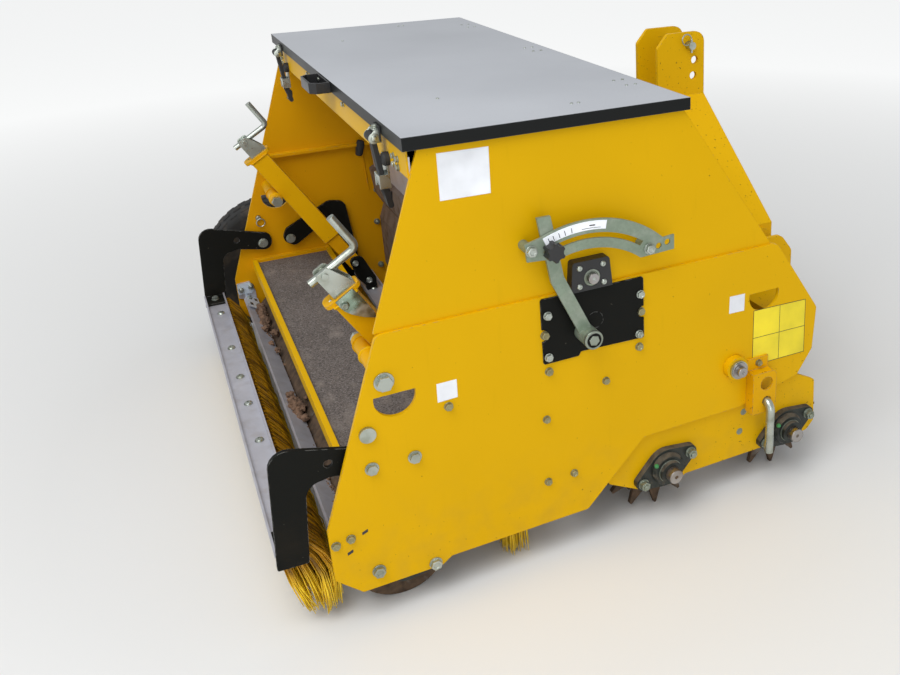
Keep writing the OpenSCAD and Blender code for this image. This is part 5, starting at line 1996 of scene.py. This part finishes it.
@dataclass(frozen=True)
class LandWheel(Assembly):
    """The land wheel's tread blocks, hub nuts and valve, and its case's screws.

    Attributes:
        x: The wheel's X.
        z: Its height.
        y: Its middle, from the centre line.
        radius: The tread's outer radius.
        blocks: Blocks round the tread.
        block: A block's length round the tread, its width and its height.
        sunk: How deep its foot lies in the tread.
        lanes: Each lane of blocks: its side of the middle, its start as a share of a
            block's pitch, and how far it lies in from the middle lane.
        lane_pitch: From one lane to the next.
        nut_circle: Radius of the hub's nut circle.
        nuts: How many nuts it has.
        valve: Foot and tip of the valve, from the wheel's middle.
        case: Outer face of the drive case, from the centre line.
        case_screws: X and Z of its screws.
        stub_end: The outer end of the wheel's stub.
    """

    x: float = -545.0
    z: float = 200.0
    y: float = 737.5
    radius: float = 195.0
    blocks: int = 34
    block: tuple[float, float, float] = (24, 22, 9.6)
    sunk: float = 6.0
    lanes: tuple[tuple[int, float, float], ...] = ((-1, 0.0, 3.5), (0, 0.5, 0.0), (1, 0.0, 3.5))
    lane_pitch: float = 27.0
    nut_circle: float = 52.0
    nuts: int = 5
    valve: tuple[tuple[float, float, float], ...] = ((101, 3, 0), (97, 26, 2))
    case: float = 683.0
    case_screws: Places = ((-545, 232), (-560, 172), (-470, 282), (-380, 350), (-300, 412),
                           (-165, 527), (-120, 470), (-190, 445))
    stub_end: float = 779.0

    def tread(self) -> None:
        """Makes the tyre's blocks in three staggered lanes."""
        shape = Shape()
        long, wide, high = self.block
        for i in range(self.blocks):
            for lane, start, inset in self.lanes:
                angle = 2 * math.pi * (i + start) / self.blocks
                out = Vector((math.sin(angle), 0, -math.cos(angle)))
                along = Vector((math.cos(angle), 0, math.sin(angle)))
                middle = Vector((self.x, self.y + lane * self.lane_pitch, self.z))
                foot = middle + out * (self.radius - self.sunk - inset)
                shape.bar(foot, foot + out * high, along * long, Vector((0, wide, 0)))
        shape.bevel(1.6)
        shape.done("tyre_tread", TYRE, "land_wheel")

    def fixings(self) -> None:
        """Makes the hub nuts and the valve."""
        shape = Shape()
        for i in range(self.nuts):
            angle = 2 * math.pi * (i + 0.5) / self.nuts
            foot = (self.x + self.nut_circle * math.cos(angle), self.y + 4,
                    self.z + self.nut_circle * math.sin(angle))
            FIXINGS.add(shape, Head.NUT, foot, LEFTWARD, 12)
        middle = Vector((self.x, self.y, self.z))
        shape.tube([middle + Vector(end) for end in self.valve], [4, 3.2])
        shape.done("wheel_nuts", ZINC, "land_wheel")

    def drive_case(self) -> None:
        """Makes the screws round the drive case and the end of the wheel's stub."""
        shape = Shape()
        for x, z in self.case_screws:
            FIXINGS.add(shape, Head.DOME, (x, self.case, z), LEFTWARD, 6.5)
        shape.turned((self.x, self.stub_end, self.z), LEFTWARD,
                     [(0, 17), (2, 17), (3, 15), (3, 8), (1, 7)], 28)
        shape.done("case_screws", ZINC, "frame")

    def pieces(self) -> None:
        """Makes every piece."""
        self.tread()
        self.fixings()
        self.drive_case()


@dataclass(frozen=True)
class Lamp:
    """One soft area lamp.

    Attributes:
        name: Its name.
        place: Where it hangs, in metres.
        size: Its side in metres.
        power: Its power in watts.
        aim: The point that it faces, in metres.
    """

    name: str
    place: tuple[float, float, float]
    size: float
    power: float
    aim: tuple[float, float, float] = (0.0, 0.0, 0.4)

    def build(self) -> None:
        """Makes the lamp."""
        data = bpy.data.lights.new(self.name, "AREA")
        data.size, data.energy = self.size, self.power
        thing = bpy.data.objects.new(self.name, data)
        bpy.context.scene.collection.objects.link(thing)
        thing.location = self.place
        toward = Vector(self.aim) - Vector(self.place)
        thing.rotation_euler = toward.to_track_quat("-Z", "Y").to_euler()


@dataclass(frozen=True)
class Studio:
    """The camera at the photograph's angle, the pale floor and the soft lights.

    Attributes:
        width: Width of the image in pixels.
        focal: Focal length in pixels of that image.
        sensor: Width of the camera's sensor.
        azimuth: The camera's angle round the machine, in degrees.
        elevation: Its angle above the horizon.
        roll: Its turn about its own axis.
        eye: Its place.
        shift: The lens shift that frames the machine as in the photograph.
        reach: Half the floor's side in metres.
        ground: The floor's colour.
        glow: The colour and strength that it brightens to, away from the machine.
        fade: Where that starts and is full, in metres from the middle.
        sky: The world's colour.
        ambient: The world's strength for its light, and as the camera sees it.
        lamps: The lamps.
    """

    width: int = 900
    focal: float = 935.8
    sensor: float = 36.0
    azimuth: float = -27.37
    elevation: float = 21.29
    roll: float = -1.34
    eye: tuple[float, float, float] = (-822.89, -2018.47, 1232.27)
    shift: Place = (-0.191, -0.105)
    reach: float = 40.0
    ground: Colour = (0.80, 0.80, 0.79)
    glow: tuple[Colour, float] = ((1.0, 1.0, 0.995), 0.46)
    fade: Place = (1.0, 4.5)
    sky: Colour = (0.96, 0.98, 1.0)
    ambient: Place = (0.55, 1.0)
    lamps: tuple[Lamp, ...] = (Lamp("key", (-1.6, -1.6, 3.6), 2.6, 92),
                               Lamp("fill", (-0.9, -4.2, 1.3), 2.4, 26))

    def camera(self) -> None:
        """Makes the camera."""
        a, e, r = (math.radians(v) for v in (self.azimuth, self.elevation, self.roll))
        back = Vector((math.sin(a) * math.cos(e), -math.cos(a) * math.cos(e), math.sin(e)))
        level = Vector((math.cos(a), math.sin(a), 0))
        above = level.cross(-back)
        right = level * math.cos(r) + above * math.sin(r)
        up = above * math.cos(r) - level * math.sin(r)
        data = bpy.data.cameras.new("camera")
        data.sensor_width = self.sensor
        data.lens = self.focal * self.sensor / self.width
        data.shift_x, data.shift_y = self.shift
        data.clip_end = 100
        thing = bpy.data.objects.new("camera", data)
        bpy.context.scene.collection.objects.link(thing)
        place = Matrix.Translation((Vector(self.eye) + DATUM) * MM)
        thing.matrix_world = place @ Matrix((right, up, back)).transposed().to_4x4()
        bpy.context.scene.camera = thing

    def floor_finish(self) -> bpy.types.Material:
        """Builds the floor's material, which brightens away from the machine.

        Returns:
            The material.
        """
        g = Graph("floor")
        paths = g.add("ShaderNodeLightPath").outputs
        seen = g.maths("MAXIMUM", paths["Is Camera Ray"], paths["Is Glossy Ray"])
        seen = g.maths("MAXIMUM", seen, paths["Is Transmission Ray"])
        away = g.add("ShaderNodeVectorMath", {0: g.place}, operation="LENGTH").outputs["Value"]
        colour, strength = self.glow
        glow = g.times(seen, g.span(away, *self.fade, 0.0, strength))
        return g.finish(Base_Color=self.ground, Roughness=0.9, Specular_IOR_Level=0.0,
                        Emission_Color=colour, Emission_Strength=glow)

    def floor(self) -> None:
        """Makes the pale floor."""
        mesh = bpy.data.meshes.new("floor")
        s = self.reach
        mesh.from_pydata([(-s, -s, 0), (s, -s, 0), (s, s, 0), (-s, s, 0)], [], [(0, 1, 2, 3)])
        thing = bpy.data.objects.new("floor", mesh)
        bpy.context.scene.collection.objects.link(thing)
        mesh.materials.append(self.floor_finish())

    def world(self) -> None:
        """Makes the pale world, dimmer as light than as the camera sees it."""
        world = bpy.data.worlds.new("world")
        bpy.context.scene.world = world
        world.use_nodes = True
        tree = world.node_tree
        paths = tree.nodes.new("ShaderNodeLightPath")
        strength = tree.nodes.new("ShaderNodeMapRange")
        strength.inputs[3].default_value, strength.inputs[4].default_value = self.ambient
        tree.links.new(paths.outputs["Is Camera Ray"], strength.inputs[0])
        tree.links.new(strength.outputs[0], tree.nodes["Background"].inputs["Strength"])
        tree.nodes["Background"].inputs["Color"].default_value = (*self.sky, 1.0)

    def build(self) -> None:
        """Makes the whole studio."""
        self.camera()
        self.floor()
        for lamp in self.lamps:
            lamp.build()
        self.world()
        bpy.context.scene.view_settings.view_transform = "Standard"


def dress_nodes() -> None:
    """Gives every CAD node its finish."""
    for finish, names in NODE_FINISH.items():
        for name in names:
            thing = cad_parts[name]
            thing.data.materials.clear()
            thing.data.materials.append(finish.material())
        LOG.info("%s: %d nodes", finish.name, len(names))


def main() -> None:
    """Builds the studio and the sub-assemblies in order."""
    logging.basicConfig(level=logging.INFO, format="%(message)s")
    Studio().build()
    dress_nodes()
    parts = (SidePlates(), Hopper(), Lid(), RateControl(), Carriage(), RearRoller(), Brushes(),
             Jack(Side.RIGHT), Jack(Side.LEFT), Hitch(), LandWheel())
    for part in parts:
        part.build()


if __name__ == "__main__":
    main()
